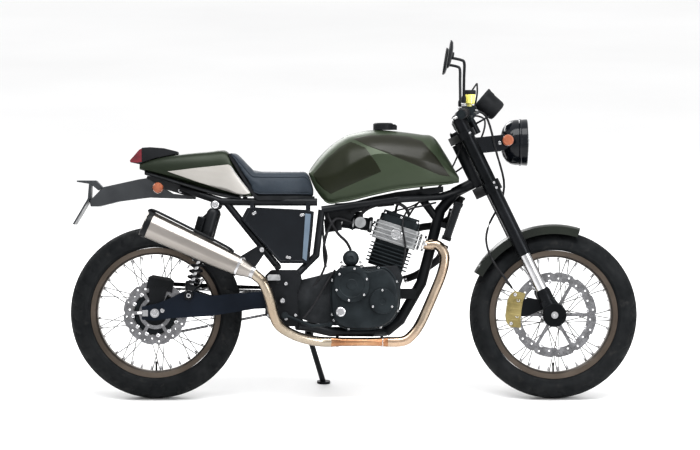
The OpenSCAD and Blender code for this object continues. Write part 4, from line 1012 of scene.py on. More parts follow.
# %% Radiator
core_metal = finish("radiator_core", (0.010, 0.010, 0.011), (0.030, 0.031, 0.033), (0.45, 0.65), metal=0.5,
                    blotch=60, grain=150, strength=1.0, depth=0.002, kind="bands", stretch=(0.02, 1, 0.02))
slope = Matrix.Translation((1082, 0, 700)) @ Matrix.Rotation(math.radians(199), 4, "Y")
cooler = Shape(slope)
stack(cooler, rounded(-13, 13, -84, 84, 3), 8, 134)
for z0, z1 in ((0, 14), (128, 142)):
    stack(cooler, rounded(-16, 16, -84, 84, 7), z0, z1, 1)
for side in (1, -1):
    stack(cooler, rounded(-10, 10, min(side * 80, side * 100), max(side * 80, side * 100), 5), 10, 132, 1)
for k in range(15):
    cooler.block((-15, -80, 18 + 7.4 * k), (15, 80, 19.6 + 7.4 * k), 1)
cooler.turned([(16, 0), (16, 14), (19, 15), (19, 24), (8, 26)], (0, 58, 0), (0, 0, -1), 24, 1)
cooler.block((14, -12, 84), (42, 12, 104), 1)
cooler.make("radiator_assembly", [core_metal, satin_black], "chassis", "radiator", bevel=1.2)

# %% [markdown]
# ## Exhaust
# Stainless pipe turns straw, tan and brown with heat. The pipe's colour wanders between such tones in
# large and small patches, the collector is copper coloured, and the silencer stays pale with fine brushing.

# %% Heat-tinted steel
tinted, tree, shader = nodes_of("tinted_steel")
stain = between(tree, field(tree, "noise", 7, detail=6), 0, 1, 0.3, 0.7)
first = mixed(tree, stain, (0.27, 0.225, 0.17), (0.40, 0.35, 0.285))
bands = between(tree, field(tree, "noise", 2.2, detail=2), 0, 1, 0.45, 0.62)
second = covered(tree, bands, first, (0.46, 0.34, 0.25))
tree.links.new(second, shader.inputs["Base Color"])
tree.links.new(between(tree, field(tree, "noise", 30), 0.20, 0.34), shader.inputs["Roughness"])
tree.links.new(bumped(tree, field(tree, "noise", 800), 0.08, 0.0003), shader.inputs["Normal"])
shader.inputs["Metallic"].default_value = 1.0
copper = finish("copper_tint", (0.30, 0.15, 0.08), (0.46, 0.27, 0.16), (0.24, 0.36), metal=1.0, blotch=12,
                grain=900, strength=0.08)
brushed = finish("brushed_steel", (0.29, 0.27, 0.25), (0.39, 0.365, 0.345), (0.30, 0.40), metal=1.0, blotch=5,
                 grain=700, strength=0.12, stretch=(0.06, 1, 1))
print("finishes so far:", len(bpy.data.materials))

# %% [markdown]
# The pipe is a tube along a smooth path from the exhaust port, and a second one climbs to the silencer.
# Between them sits the collector box, a ring of points that is squared off a little by a power of the
# cosine and sine.

# %% Pipe and collector
PORT_Y, PORT_Z, RUN_Z = -36, 132, 204
HEADER = [tilted(104, PORT_Y, PORT_Z), tilted(126, PORT_Y, PORT_Z), (1003, -46, 549), (1024, -50, 527),
          (1031, -54, 496), (1018, -56, 440), (986, -58, 362), (944, -66, 270), (912, -72, 226),
          (880, -78, 206), (820, -82, RUN_Z)]
TAIL = [(630, -88, RUN_Z), (590, -96, 205), (540, -118, 214), (490, -146, 232), (444, -174, 262),
        (424, -188, 300), (413, -198, 346), (400, -208, 386), (382, -214, 422), (361, -217, 441),
        (350, -217, 452)]
pipe = Shape()
pipe.tube(smooth_path(HEADER, 8), 18, 32)
pipe.tube(smooth_path(TAIL, 8), 18, 32)
stations = [(626, -88, 18.2, 18.2), (640, -88, 20, 17), (664, -87, 30, 15.5), (740, -85, 31, 15),
            (790, -84, 30, 15.5), (812, -82, 20, 17), (828, -82, 18.2, 18.2)]
pipe.rings([[(x, y + wide * math.copysign(abs(math.cos(a)) ** 0.7, math.cos(a)),
              RUN_Z + high * math.copysign(abs(math.sin(a)) ** 0.7, math.sin(a)))
             for a in (math.radians(10 * k) for k in range(36))] for x, y, wide, high in stations], 1)
out = (tilted(126, PORT_Y, PORT_Z) - tilted(104, PORT_Y, PORT_Z)).normalized()
pipe.turned([(19, 0), (30, 0), (30, 7), (26, 8), (19, 8)], tilted(105, PORT_Y, PORT_Z), out, 32, 2, loop=True)
for y in (-62, -10):
    pipe.bolt(tilted(112, y, PORT_Z), out, 6, 8, 2)
for x in (648, 806):
    pipe.turned([(19, -5), (20.5, -5), (20.5, 5), (19, 5)], (x, -84, RUN_Z), (1, 0, 0), 32, 2, loop=True)
pipe.make("exhaust_header", [tinted, copper, bright], "chassis", ("exhaust_pipe", "collector", "tail_pipe"),
          bevel=0.4)

# %% [markdown]
# The can is not round: its section has eight flattened sides that grow out of a round inlet. Each ring of
# the skin is a circle whose points are pulled in towards the chords, more and more up to a limit.

# %% The silencer's can
front, rear = Vector((350, -217, 452)), Vector((-33, -217, 628))
run = (rear - front).normalized()
length = (rear - front).length
rise = Vector((run.z, 0, -run.x))
aside = Vector((0, -1, 0))
pot = Shape()
corners = [math.radians(a) for a in (-68, -22, 14, 50, 92, 150, 202, 248)]
rings = []
for share in range(41):
    h = length * share / 40
    r = (20 + 15 * h / 56 if h < 56 else 35 + 6 * (h - 56) / 90 if h < 146
         else 41 + 8 * (h - 146) / (length - 146))
    ring = []
    for first, second in zip(corners, corners[1:] + [corners[0] + 2 * math.pi]):
        for k in range(8):
            a = first + (second - first) * k / 8
            flat = math.cos(0.5 * (second - first)) / math.cos(a - 0.5 * (first + second))
            flat = 1 - (1 - flat) * min(0.62, h / 160)
            ring.append(front + h * run + r * flat * (math.cos(a) * aside + math.sin(a) * rise))
    rings.append(ring)
pot.rings(rings, 0)
print("silencer length in mm:", round(length))

# %% [markdown]
# The end cap is turned on the can's own axis. A clamp at the joint, a band, a hanger with its bolt and a
# thin guard bar complete it.

# %% End cap, hanger and guard bar
pot.turned([(47, -22), (50, -21), (50, -5), (47, 0), (40, 1.5), (24, 1.5), (22, -0.5), (22, -30), (5, -30)],
           rear, run, 64, 1)
pot.turned([(20.5, -7), (22.5, -7), (22.5, 7), (20.5, 7)], front + 3 * run, run, 40, 2, loop=True)
pot.turned([(35, 52), (37.4, 53), (37.4, 60), (36, 62)], front, run, 48, 2)
bar = [rear + run * s + rise * h + aside * y for s, h, y in
       ((-330, 38, 18), (-300, 45, 20), (-180, 50, 20), (-60, 54, 18), (-14, 54, 12), (0, 49, 8), (2, 42, 6))]
pot.tube(smooth_path(bar, 6), 4.6, 12, 1)
pot.prism([(300, 490), (352, 462), (392, 520), (392, 540), (366, 546), (310, 512)], -221, -213, 1)
pot.tube([(382, -221, 532), (382, -120.6, 532)], 8, 20, 1)
pot.bolt((382, -221, 532), (0, -1, 0), 9, 7, 2)
pot.bolt((318, -221, 498), (0, -1, 0), 7, 6, 2)
pot.make("silencer_can", [brushed, satin_black, bright], "chassis", "silencer", bevel=0.5)

# %% [markdown]
# ## Steering, lamps and controls
# The fork's lowers are dark cast lugs with a clamp and two pinch bolts, and the bright sliding tubes show
# above them. The headlight is a spun shell with a rolled seam, and a domed glass over a mirror bowl.

# %% Fork sliders and lugs
FORK_HALF = 100
sliders = Shape(fork)
for side in (1, -1):
    y = FORK_HALF * side
    sliders.turned([(20.5, 96), (20.5, 248)], (0, y, 0), (0, 0, 1), 40, 1)
    sliders.turned([(26, 40), (26, 92), (23, 98), (23, 102), (20.6, 102)], (0, y, 0), (0, 0, 1), 40)
    sliders.turned([(13.1, -27), (40, -27), (42.5, -24), (42.5, 24), (40, 27), (13.1, 27)], (0, y, 0),
                   (0, 1, 0), 48, loop=True)
    sliders.rings([[(x, y + dy, z) for x, dy in rounded(-w, w, -t, t, 9)] for w, t, z in
                   ((33, 20, 22), (28, 23, 44), (26, 25, 60))])
    for z in (-8, 10):
        sliders.bolt((-41, y + 14, z), (-1, 0, 0), 5, 5, 1)
sliders.make("fork_lowers", [anodised, bright], "steering", "fork_sliders", bevel=0.8)

# %% [markdown]
# Clear glass lets most light through and bends it, and a little dust keeps it from being perfect. The
# mirror finish is polished metal, for the headlight's bowl and the rear-view mirrors.

# %% Glass and mirror
glass, tree, shader = nodes_of("clear_glass")
dust = between(tree, field(tree, "noise", 60, detail=8), 0.02, 0.10, 0.4, 0.7)
tree.links.new(dust, shader.inputs["Roughness"])
tree.links.new(bumped(tree, field(tree, "noise", 500), 0.03, 0.0002), shader.inputs["Normal"])
for socket, value in (("Transmission Weight", 0.92), ("IOR", 1.45), ("Base Color", (0.92, 0.95, 0.96, 1))):
    shader.inputs[socket].default_value = value
mirror_face = finish("mirror_face", (0.78, 0.80, 0.82), (0.90, 0.91, 0.92), (0.02, 0.07), metal=1.0,
                     blotch=12, grain=300, strength=0.02)
print("finishes so far:", len(bpy.data.materials))

# %% [markdown]
# The shell, the reflector, the bulb and the glass are all turned about one axis. Thin upright flutes stand
# on the glass, and an ear on each side carries the shell and its indicator.

# %% Headlight
LAMP_X, LAMP_Z, GLASS_R = 1230, 915, 76
lamp_back = (LAMP_X, 0, LAMP_Z)
lamp_shell = Shape()
lamp_shell.turned([(2, 0), (30, 3), (52, 10), (68, 22), (78, 38), (81.6, 54), (82, 66), (84.5, 69),
                   (84.5, 73), (82.4, 76), (83.5, 88), (84, 95), (80, 98), (76, 97), (76, 90)], lamp_back,
                  (1, 0, 0), 72)
lamp_shell.turned([(76, 88), (60, 66), (34, 50), (8, 46)], lamp_back, (1, 0, 0), 72, 1)
lamp_shell.turned([(13, 0), (13, 16), (10, 22), (2, 24)], (LAMP_X + 46, 0, LAMP_Z), (1, 0, 0), 24, 2)
lamp_shell.turned([(76, 92), (68, 96), (50, 100), (26, 102.5), (2, 103)], lamp_back, (1, 0, 0), 56, 2)
for y in range(-60, 61, 12):
    reach = math.sqrt(70 * 70 - y * y)
    flute = [(LAMP_X + 103 - 11 * (y * y + z * z) / GLASS_R ** 2, y, LAMP_Z + z)
             for z in (reach * (k / 5 - 1) for k in range(11))]
    lamp_shell.tube(flute, 1.3, 6, look=2)
for side in (1, -1):
    ear = [(1108, 926), (1108, 892), (1124, 884), (1160, 878), (1240, 886), (1262, 900), (1266, 918),
           (1258, 934), (1240, 942), (1150, 932), (1124, 932)]
    lamp_shell.prism(ear, side * 82.5, side * 87.5)
    lamp_shell.turned([(13, 0), (13, 5), (11, 7), (5, 8)], (1254, side * 87, 921), (0, side, 0), 24)
    lamp_shell.bolt((1226, side * 87, 912), (0, side, 0), 7, 5, 3)
lamp_shell.make("headlight_unit", [gloss_black, mirror_face, glass, bright], "steering", "headlight",
                bevel=0.8)

# %% [markdown]
# The instrument is a deep cup with a rolled rim. Its dial carries plain division marks and a needle, under
# a flat glass.

# %% Instrument
dial_white = finish("dial_marks", (0.75, 0.76, 0.76), (0.84, 0.84, 0.84), (0.4, 0.5), blotch=50, grain=900)
dial_face = finish("dial_face", (0.010, 0.011, 0.012), (0.018, 0.019, 0.020), (0.5, 0.7), blotch=40,
                   grain=1500)
axis = Vector((-math.cos(math.radians(40.5)), 0, math.sin(math.radians(40.5))))
up = Vector((0.65, 0, 0.76)).normalized()
clock = Shape()
centre = Vector((1193, 0, 1049))
clock.turned([(2, -41), (24, -41), (34, -38), (38, -30), (39, 10), (41, 14), (41.5, 30), (43.4, 33),
              (43.4, 39), (41, 41.5), (37.5, 41), (37, 36.5)], centre, axis, 64)
clock.turned([(37.5, 36.4), (1, 36.5)], centre, axis, 48, 1)
clock.turned([(38, 39.6), (20, 40.2), (1, 40.4)], centre, axis, 48, 4)
for k in range(25):
    a = math.radians(-120 + 10 * k)
    out = math.cos(a) * up + math.sin(a) * Vector((0, -1, 0))
    start = 29 if k % 2 else 26
    mark = centre + 36.9 * axis
    clock.tube([mark + start * out, mark + 34 * out], 0.45 if k % 2 else 0.8, 6, 2)
a = math.radians(-96)
needle = math.cos(a) * up + math.sin(a) * Vector((0, -1, 0))
clock.tube([centre + 38 * axis - 5 * needle, centre + 38 * axis + 28 * needle], [1.3, 0.5], 8, 3)
clock.turned([(4, 36.5), (4, 38.8), (3, 39.3), (1, 39.3)], centre, axis, 20)
for y in (14, 19):
    for side in (1, -1):
        yoke_end = fork @ Vector((24, side * 20, 733))
        clock.tube([centre - 38 * axis + Vector((0, side * y, 2)), yoke_end], 3.4, 12)
for side in (1, -1):
    foot = fork @ Vector((24, side * 20, 728.4))
    clock.turned([(8, 0), (8, 7), (5, 9), (1, 9)], foot, fork.to_3x3() @ Vector((0, 0, 1)), 20)
clock.make("instrument_unit", [moulded, dial_face, dial_white, lens_orange, glass], "steering", "instrument",
           bevel=0.4)

# %% [markdown]
# A grip is a sleeve with rings around it. All of them are one outline turned about the bar's end, and the
# second grip is the first one mirrored.

# %% Grips and bar ends
bar_c = fork @ Vector((38, 0, 769))
grip_a = Vector((1094, 256, bar_c.z + 8))
grip_b = Vector((1082, 380, bar_c.z - 2))
grip_way = (grip_b - grip_a).normalized()
grip_len = (grip_b - grip_a).length
grips = Shape()
for side in (1, -1):
    flip = Matrix.Diagonal((1, side, 1)).to_3x3()
    rings = [(11.2, 4), (20, 4), (20.5, 6), (20, 9), (16.6, 10)]
    for k in range(15):
        h = 13 + 6.8 * k
        rings += [(16.2, h), (17, h + 1.1), (17, h + 4.4), (16.2, h + 5.4)]
    rings += [(17.4, grip_len - 6), (17.4, grip_len - 4.6), (11.2, grip_len - 4.5)]
    grips.turned(rings, flip @ grip_a, flip @ grip_way, 28, loop=True)
grips.make("ribbed_grips", [soft_rubber], "steering", "grips")

# %% [markdown]
# The brake fluid's pot is yellow plastic with a ribbed black lid, and a short hose leads down towards the
# brake lever.

# %% Fluid reservoir
amber = finish("fluid_yellow", (0.62, 0.55, 0.10), (0.78, 0.72, 0.22), (0.14, 0.24), blotch=30, grain=500,
               strength=0.08, coat=0.5)
pot = Shape()
base_z = bar_c.z + 30.3
POT_X, POT_Y, LID_RIBS = 1114, -210, 48
pot.turned([(9, 0), (9, 8), (17, 9), (19.5, 12), (22, 42), (21, 44)], (POT_X, POT_Y, base_z), (0, 0, 1), 40)
ribs = [(23.5 if k % 2 else 22.8, 2 * math.pi * k / LID_RIBS) for k in range(LID_RIBS)]
pot.rings([[(POT_X + r * s * math.cos(t), POT_Y + r * s * math.sin(t), base_z + z) for r, t in ribs]
           for s, z in ((0.97, 43), (1, 45), (1, 55), (0.93, 58), (0.3, 58.4))], 1)
drop = [(POT_X, POT_Y, base_z + 3), (1136, -206, base_z - 2), (1136, -205, base_z - 10)]
pot.tube(smooth_path(drop, 5), 4, 12, 2)
pot.make("fluid_reservoir", [amber, moulded, soft_rubber], "steering", "brake_reservoir",
         bevel=0.3)

# %% [markdown]
# Each mirror is a shallow turned cup with a glass in it, on a bent stem that is screwed in above the bar.

# %% Mirrors
mirrors = Shape()
for side in (1, -1):
    foot = (1094, side * 240, base_z)
    bend = [foot, (1094, side * 240, 1060), (1094, side * 247, 1092), (1094, side * 275, 1142),
            (1094, side * 301, 1188), (1082, side * 308, 1199), (1046, side * 316, 1206)]
    mirrors.tube(smooth_path(bend, 5), 5, 16)
    mirrors.turned([(9, 0), (9, 10), (7, 12)], foot, (0, 0, 1), 6, 2)
    mirrors.turned([(7, 12), (8, 14), (8, 30), (5, 38)], foot, (0, 0, 1), 20)
    face = Vector((-0.988, 0, 0.156))
    back = Vector((1043, side * 322, 1218)) - 1.5 * face
    mirrors.turned([(4, -14), (9, -13), (10, -8), (26, -7), (42, -4), (48.5, 0), (50, 3), (50, 6.5),
                    (48.6, 7.4), (47.6, 6.6)], back, face, 64)
    mirrors.turned([(47.8, 5.8), (30, 6.2), (1, 6.4)], back, face, 56, 1)
mirrors.make("round_mirrors", [satin_black, mirror_face, bright], "steering", "mirrors",
             bevel=0.4)

# %% [markdown]
# All four indicators are one shape: a ribbed rubber stalk, a black cup and an orange lens. One function
# makes a pair, and only the place and the size change.

# %% Indicators
def lamp_pods(name, body, node, x, z, root, r):
    pods = Shape()
    for side in (1, -1):
        way = (0, side, 0)
        ribs = [(9, 0), (9, 3)]
        reach = 113 - root
        for k in range(max(2, int(reach / 6))):
            h = 3 + (reach - 4) * k / max(2, int(reach / 6))
            ribs += [(8.2, h), (8.2, h + 1.5), (6.6, h + 2.2), (6.6, h + 3.6)]
        pods.turned(ribs + [(7, reach)], (x, side * root, z), way, 24, 1)
        pods.turned([(5, 0), (12, 1), (r * 0.8, 6), (r - 1, 13), (r + 0.6, 16), (r + 0.6, 19)],
                    (x, side * 108, z), way, 40, 1)
        pods.turned([(r + 0.2, 18), (r, 22), (r - 0.6, 34), (r - 3, 38.5), (r * 0.5, 40), (1, 40.3)],
                    (x, side * 108, z), way, 40, 0)
    pods.make(name, [lens_orange, moulded], body, node)


lamp_pods("front_indicator_pods", "steering", "front_indicators", 1254, 921, 88, 20.5)
lamp_pods("rear_indicator_pods", "chassis", "rear_indicators", 11, 752, 60, 19.5)


# %% [markdown]
# The front caliper is two gold castings bolted together over the disc, with cooling ribs on the outside, on
# a black bracket from the fork.

# %% Front caliper
front_axle = Matrix.Translation((WHEELBASE, 0, FRONT_R))
grip = Shape(front_axle @ Matrix.Rotation(math.radians(188), 4, "Y"))
JAW = [(112, -62), (150, -64), (164, -50), (171, -30), (172, 0), (171, 30), (164, 50), (150, 64), (112, 62),
       (117, 30), (118, 0), (117, -30)]
grip.prism(JAW, -93, -71)
grip.prism(JAW, -54, -39)
grip.prism([(159, -44), (172, -30), (172, 30), (159, 44)], -71, -54)
for k in range(5):
    grip.prism([(124, 20 * k - 44), (160, 20 * k - 44), (160, 20 * k - 37), (124, 20 * k - 37)], -95.5, -92)
for z in (-52, 52):
    grip.bolt((148, -92, z), (0, -1, 0), 7, 5, 2)
grip.place = Matrix()
grip.prism([(1272, 340), (1330, 362), (1384, 350), (1386, 322), (1330, 298), (1276, 290)], -89, -81, 1)
grip.bolt((1292, -89, 352), (0, -1, 0), 7, 6, 2)
grip.bolt((1288, -89, 296), (0, -1, 0), 7, 6, 2)
grip.make("front_caliper_body", [gold, anodised, bright], "steering", "front_caliper",
          bevel=1.6)

# %% [markdown]
# ## Chain, sprocket, shocks and pegs
# A roller chain is pairs of figure-eight plates, wide and narrow in turn, on pins a fixed pitch apart. The
# links follow the same belt line as the plain loop of the frame.

# %% The belt line around the two sprockets
REAR_SPROCKET_R, FRONT_SPROCKET_R, LINKS, ARC_POINTS = 85, 28.5, 98, 240


def belt_line(big, small, steps):
    a, b = Vector((0, 0, REAR_R)), Vector((510, 0, 350))
    way, gap = math.atan2(b.z - a.z, b.x - a.x), (b - a).length
    turn = math.acos((big - small) / gap)
    around = [(b, small, way - turn, way + turn), (a, big, way + turn, way + 2 * math.pi - turn)]
    points = []
    for centre, r, start, end in around:
        for k in range(ARC_POINTS):
            t = start + (end - start) * k / (ARC_POINTS - 1)
            points.append(centre + r * Vector((math.cos(t), 0, math.sin(t))))
    points.append(points[0])
    chain = [tuple(p) for p in points]
    return [Vector(share_of(chain, k / steps)) for k in range(steps)]


# %% [markdown]
# The plates' waist comes from an oval that is pulled in near its middle. The pins and rollers are short
# turned pieces at each joint of the chain.

# %% Chain
links = Shape()
pins = belt_line(REAR_SPROCKET_R, FRONT_SPROCKET_R, LINKS)
for k, (p, q) in enumerate(zip(pins, pins[1:] + pins[:1])):
    way = (q - p).normalized()
    other = Vector((-way.z, 0, way.x))
    half = (q - p).length / 2
    outline = []
    for m in range(20):
        t = 2 * math.pi * m / 20
        waist = 1 - 0.24 * math.exp(-(2.2 * math.cos(t)) ** 2)
        u, v = (half + 5.6) * math.cos(t), 5.7 * math.sin(t) * waist
        outline.append((p + q) / 2 + u * way + v * other)
    for y0, y1 in (((80.8, 82.4), (93.6, 95.2)) if k % 2 else ((82.6, 84.2), (91.8, 93.4))):
        links.rings([[(o.x, y0, o.z) for o in outline], [(o.x, y1, o.z) for o in outline]])
    links.turned([(4.4, 84), (4.4, 92)], (p.x, 0, p.z), (0, 1, 0), 10)
    links.turned([(2, 80.4), (2, 95.6)], (p.x, 0, p.z), (0, 1, 0), 8, 1)
links.make("chain_links", [chain_metal, bright], "chassis", "chain")

# %% [markdown]
# Six radii repeat around the rim and make the teeth, so the outline is one short loop. Five arms join the
# toothed ring to the centre.

# %% Rear sprocket with teeth
teeth = Shape(Matrix.Translation((0, 0, REAR_R)))
TEETH = 36
TOOTH = (-4.2, -2.2, 2.6, 3.6, 2.6, -2.2)
outline = []
for k in range(TEETH * 6):
    t = 2 * math.pi * k / (TEETH * 6)
    outline.append((REAR_SPROCKET_R + TOOTH[k % 6], t))
y0, y1, edge = 84.5, 91.5, 1.6
rings = [[(r * s * math.cos(t), y, r * s * math.sin(t)) for r, t in outline]
         for s, y in ((0.975, y0), (1, y0 + edge), (1, y1 - edge), (0.975, y1))]
flat = [[(68 * math.cos(t), y, 68 * math.sin(t)) for _, t in outline] for y in (y1, y0)]
teeth.rings(rings + flat, loop=True)
for k in range(5):
    t = math.radians(72 * k + 18)
    way = Vector((math.cos(t), 0, math.sin(t)))
    other = Vector((-way.z, 0, way.x))
    teeth.rings([[w * other + r * way + Vector((0, y, 0))
                  for w, y in ((-a, 85.5), (a, 85.5), (a, 90.5), (-a, 90.5))]
                 for a, r in ((13, 19), (10, 44), (12, 69))])
    teeth.bolt(Vector((0, 90.5, 0)) + 50 * way, (0, 1, 0), 6, 6, 1)
teeth.turned([(62, 84.6), (71, 84.6), (71, 91.4), (62, 91.4)], (0, 0, 0), (0, 1, 0), 72, loop=True)
teeth.turned([(20.5, 84.6), (36, 84.6), (36, 91.4), (20.5, 91.4)], (0, 0, 0), (0, 1, 0), 48, loop=True)
teeth.make("rear_sprocket_teeth", [peg_metal, bright], "rear_wheel", "rear_sprocket",
           bevel=0.4)

# %% [markdown]
# A shock absorber is a damper inside a coil spring. The spring is a tube along a helix, which is worked
# out from where it starts and ends on the damper.

# %% A coil spring
COILS, COIL_R, WIRE_R, COIL_STEPS = 7, 20.5, 4.3, 20


def spring(shape, low, way, start, end):
    side_way = perpendicular(way)
    other = way.cross(side_way)
    coil = []
    for k in range(COILS * COIL_STEPS + 1):
        t = 2 * math.pi * k / COIL_STEPS
        h = start + (end - start) * k / (COILS * COIL_STEPS)
        coil.append(low + h * way + COIL_R * (math.cos(t) * side_way + math.sin(t) * other))
    shape.tube(coil, WIRE_R, 10, 2)


print("points along a spring:", COILS * COIL_STEPS + 1)

# %% [markdown]
# Around the spring come its two seats, the adjuster's rings, an eye at each end and the gas reservoir,
# which hangs beside the damper.

# %% Shock absorbers
SHOCK_TOP, SHOCK_LOW, SHOCK_Y = (215, 692), (121, 370), 138
shocks = Shape()
for side in (1, -1):
    top, low = (Vector((x, side * SHOCK_Y, z)) for x, z in (SHOCK_TOP, SHOCK_LOW))
    way = (top - low).normalized()
    reach = (top - low).length
    shocks.turned([(8, 14), (8, reach - 20)], low, way, 24, 1)
    shocks.turned([(15, 18), (17, 20), (22, 30), (25, 33), (25, 38), (19, 40)], low, way, 40)
    shocks.turned([(21, reach - 134), (21, reach - 30), (17, reach - 22), (13, reach - 16)], low, way, 40)
    shocks.turned([(25, reach - 142), (25, reach - 136), (21, reach - 134), (21, reach - 142)], low, way, 40,
                  loop=True)
    for k in range(7):
        shocks.turned([(21, reach - 130 + 5 * k), (22.6, reach - 128.5 + 5 * k), (21, reach - 127 + 5 * k)],
                      low, way, 32, loop=True)
    spring(shocks, low, way, 44, reach - 146)
    for at in (low, top):
        shocks.turned([(9.02, -11), (16, -11), (17, -9), (17, 9), (16, 12), (9.02, 12)], at, (0, side, 0), 36,
                      loop=True)
    can = top - 40 * way + Vector((-34, 0, -6))
    shocks.turned([(6, -1), (15, 0), (17, 3), (17, 30), (16, 31), (16, 33), (17, 34), (17, 104), (15, 109),
                   (6, 110)], can, -way, 32, 3)
    shocks.tube([top - 20 * way, can - 12 * way], 8, 16)
    outward = Vector((0, side, 0))
    shocks.turned([(9, 0), (13.5, 0), (13.5, 3), (9, 5)], top + 13 * outward, outward, 24, 1)
    shocks.bolt(top + 15 * outward, outward, 9, 6, 1)
    shocks.bolt(low + 13 * outward, outward, 9, 6, 1)
shocks.make("coil_shocks", [satin_black, bright, gloss_black, anodised], "chassis", "shock_absorbers",
            bevel=0.4)

# %% [markdown]
# The pegs are steel bars with cross ribs that keep a boot from slipping, on a bracket with one pivot
# bolt.

# %% Foot pegs
pegs = Shape()
for side in (1, -1):
    flip = Matrix.Diagonal((1, side, 1)).to_4x4()
    pegs.place = flip
    pegs.block((401, 139.2, 418), (433, 160, 446), 1)
    pegs.tube([(417, 158, 433), (417, 180, 433)], 9, 20, 1)
    pegs.prism([(403, 425), (447, 425), (447, 441), (403, 441)], 178, 258)
    for k in range(8):
        pegs.prism([(404, 440), (446, 440), (444, 445), (406, 445)], 182 + 9.6 * k, 186 + 9.6 * k)
    pegs.bolt((417, 160, 433), (0, 1, 0), 7, 5, 1)
    pegs.tube([(440, 250, 425), (440, 250, 414)], [4, 3], 12, 1)
pegs.make("ribbed_pegs", [peg_metal, satin_black], "chassis", "footpegs", bevel=0.8)

# %% [markdown]
# ## Small parts
# Bolts, spoke nipples and disc buttons are tiny, but their highlights are what makes the wheels and the
# frame look assembled. They ride with the piece they're screwed into.

# %% Wheel details
def wheel_details(name, body, x, z, rim_r, disc_y, disc_r, hub_r):
    bits = Shape(Matrix.Translation((x, 0, z)))
    for k in range(36):
        t = 2 * math.pi * (k + 0.5) / 36
        way = Vector((math.cos(t), 0, math.sin(t)))
        at = way * (rim_r - 26) + Vector((0, (6, -6)[k % 2], 0))
        bits.turned([(3.6, 0), (3.6, 5), (2.6, 14), (2, 15)], at, -way, 6)
    for k in range(12):
        t = 2 * math.pi * k / 12 + 0.13
        at = Vector(((disc_r - 34) * math.cos(t), disc_y, (disc_r - 34) * math.sin(t)))
        bits.turned([(7, 0), (7, 2), (5, 3), (3, 2)], at, (0, -1, 0), 16)
    for k in range(6):
        t = 2 * math.pi * k / 6
        at = Vector(((hub_r - 8) * math.cos(t), disc_y, (hub_r - 8) * math.sin(t)))
        bits.bolt(at, (0, -1, 0), 5.5, 5)
    bits.turned([(3.4, 0), (3.4, 24), (4.2, 25), (4.2, 33), (3, 35)], (0, 0, 22 - rim_r), (0, 0, 1), 12, 1)
    bits.make(name, [bright, soft_rubber], body)


wheel_details("front_wheel_details", "front_wheel", WHEELBASE, FRONT_R, FRONT_RIM_R, -64, 152, 42)
carrier = Shape(Matrix.Translation((0, 0, REAR_R)))
carrier.turned([(40.2, -64), (60, -64), (72, -68), (76, -72), (76, -79), (73, -81), (46, -81), (40.2, -79)],
               (0, 0, 0), (0, 1, 0), 64, loop=True)
for k in range(10):
    t = 2 * math.pi * k / 10
    carrier.bolt((66 * math.cos(t), -80, 66 * math.sin(t)), (0, -1, 0), 5, 3)
carrier.make("rear_disc_carrier", [cast_black], "rear_wheel", bevel=0.6)
wheel_details("rear_wheel_details", "rear_wheel", 0, REAR_R, REAR_RIM_R, -88, 114, 58)

# %% [markdown]
# These bolts stay with the chassis: the swingarm's and the pegs' bolts, the covers' screws and the chain
# adjusters.

# %% Bolts on the chassis
bolts = Shape()
for side in (1, -1):
    for x, z, y, r in ((454, 352, 146, 9), (466, 288, 139, 7), (466, 412, 139, 7), (500, 300, 139, 6),
                       (404, 300, 139, 6), (404, 436, 139, 6), (0, 307, 138, 11)):
        bolts.bolt((x, side * y, z), (0, side, 0), r, 6)
    bolts.bolt((88, side * 45, 742), (0, side, 0), 9, 4)
    for x, z in ((350, 660), (520, 655), (470, 505)):
        bolts.bolt((x, side * 123, z), (0, side, 0), 6, 4)
    bolts.block((-44, side * 126 if side > 0 else -134, 296), (-24, 134 if side > 0 else -126, 318))
    bolts.tube([(-46, side * 115, 307), (-62, side * 115, 307)], 5, 6)
    bolts.bolt((26, side * 126, 316), (0, side, 0), 8, 4)
bolts.make("chassis_bolts", [bright], "chassis", bevel=0.4)

# %% [markdown]
# These turn with the bar: the fork's top caps, the clamps' pinch bolts and the stem's nut.

# %% Bolts and caps on the steering
heads = Shape(fork)
for side in (1, -1):
    y = FORK_HALF * side
    heads.turned([(21, 779), (21, 786), (17, 788), (10, 788), (10, 785), (2, 785)], (0, y, 0), (0, 0, 1), 32)
    for z in (498, 518, 714):
        heads.bolt((12, y + side * 33, z), (0, side, 0), 5, 5)
heads.turned([(15, 738), (15, 742), (12, 746), (4, 746)], (-35, 0, 0), (0, 0, 1), 6)
heads.make("steering_bolts", [bright], "steering", bevel=0.3)

# %% [markdown]
# ## Cables
# The clutch and throttle cables run from the bar, past the head, to the engine. Their upper ends turn with
# the bar and the rest stays with the frame, but each is made as one plain mesh that rides no body.

# %% Clutch and throttle cables
def cable(name, points, r):
    line = Shape()
    line.tube(smooth_path(points, 8), r, 12)
    piece = line.make(name, [soft_rubber], None)
    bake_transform(piece)
    return piece


CLUTCH_LINE = [(1136, 205, 1016), (1160, 196, 1014), (1180, 168, 1000), (1176, 128, 960), (1150, 98, 900),
               (1110, 78, 840), (1060, 60, 800), (1000, 50, 745), (930, 66, 690), (880, 96, 600),
               (872, 118, 520), (860, 120, 470)]
THROTTLE_LINE = [(1098, -200, 1012), (1112, -178, 1070), (1140, -130, 1118), (1146, -70, 1116),
                 (1146, -30, 1080), (1132, -14, 1020), (1100, -30, 930), (1060, -44, 830), (1000, -46, 745),
                 (920, -44, 690), (850, -50, 668), (800, -62, 640), (772, -68, 622)]
cable("clutch_cable", CLUTCH_LINE, 3.4)
cable("throttle_cable", THROTTLE_LINE, 3.0)
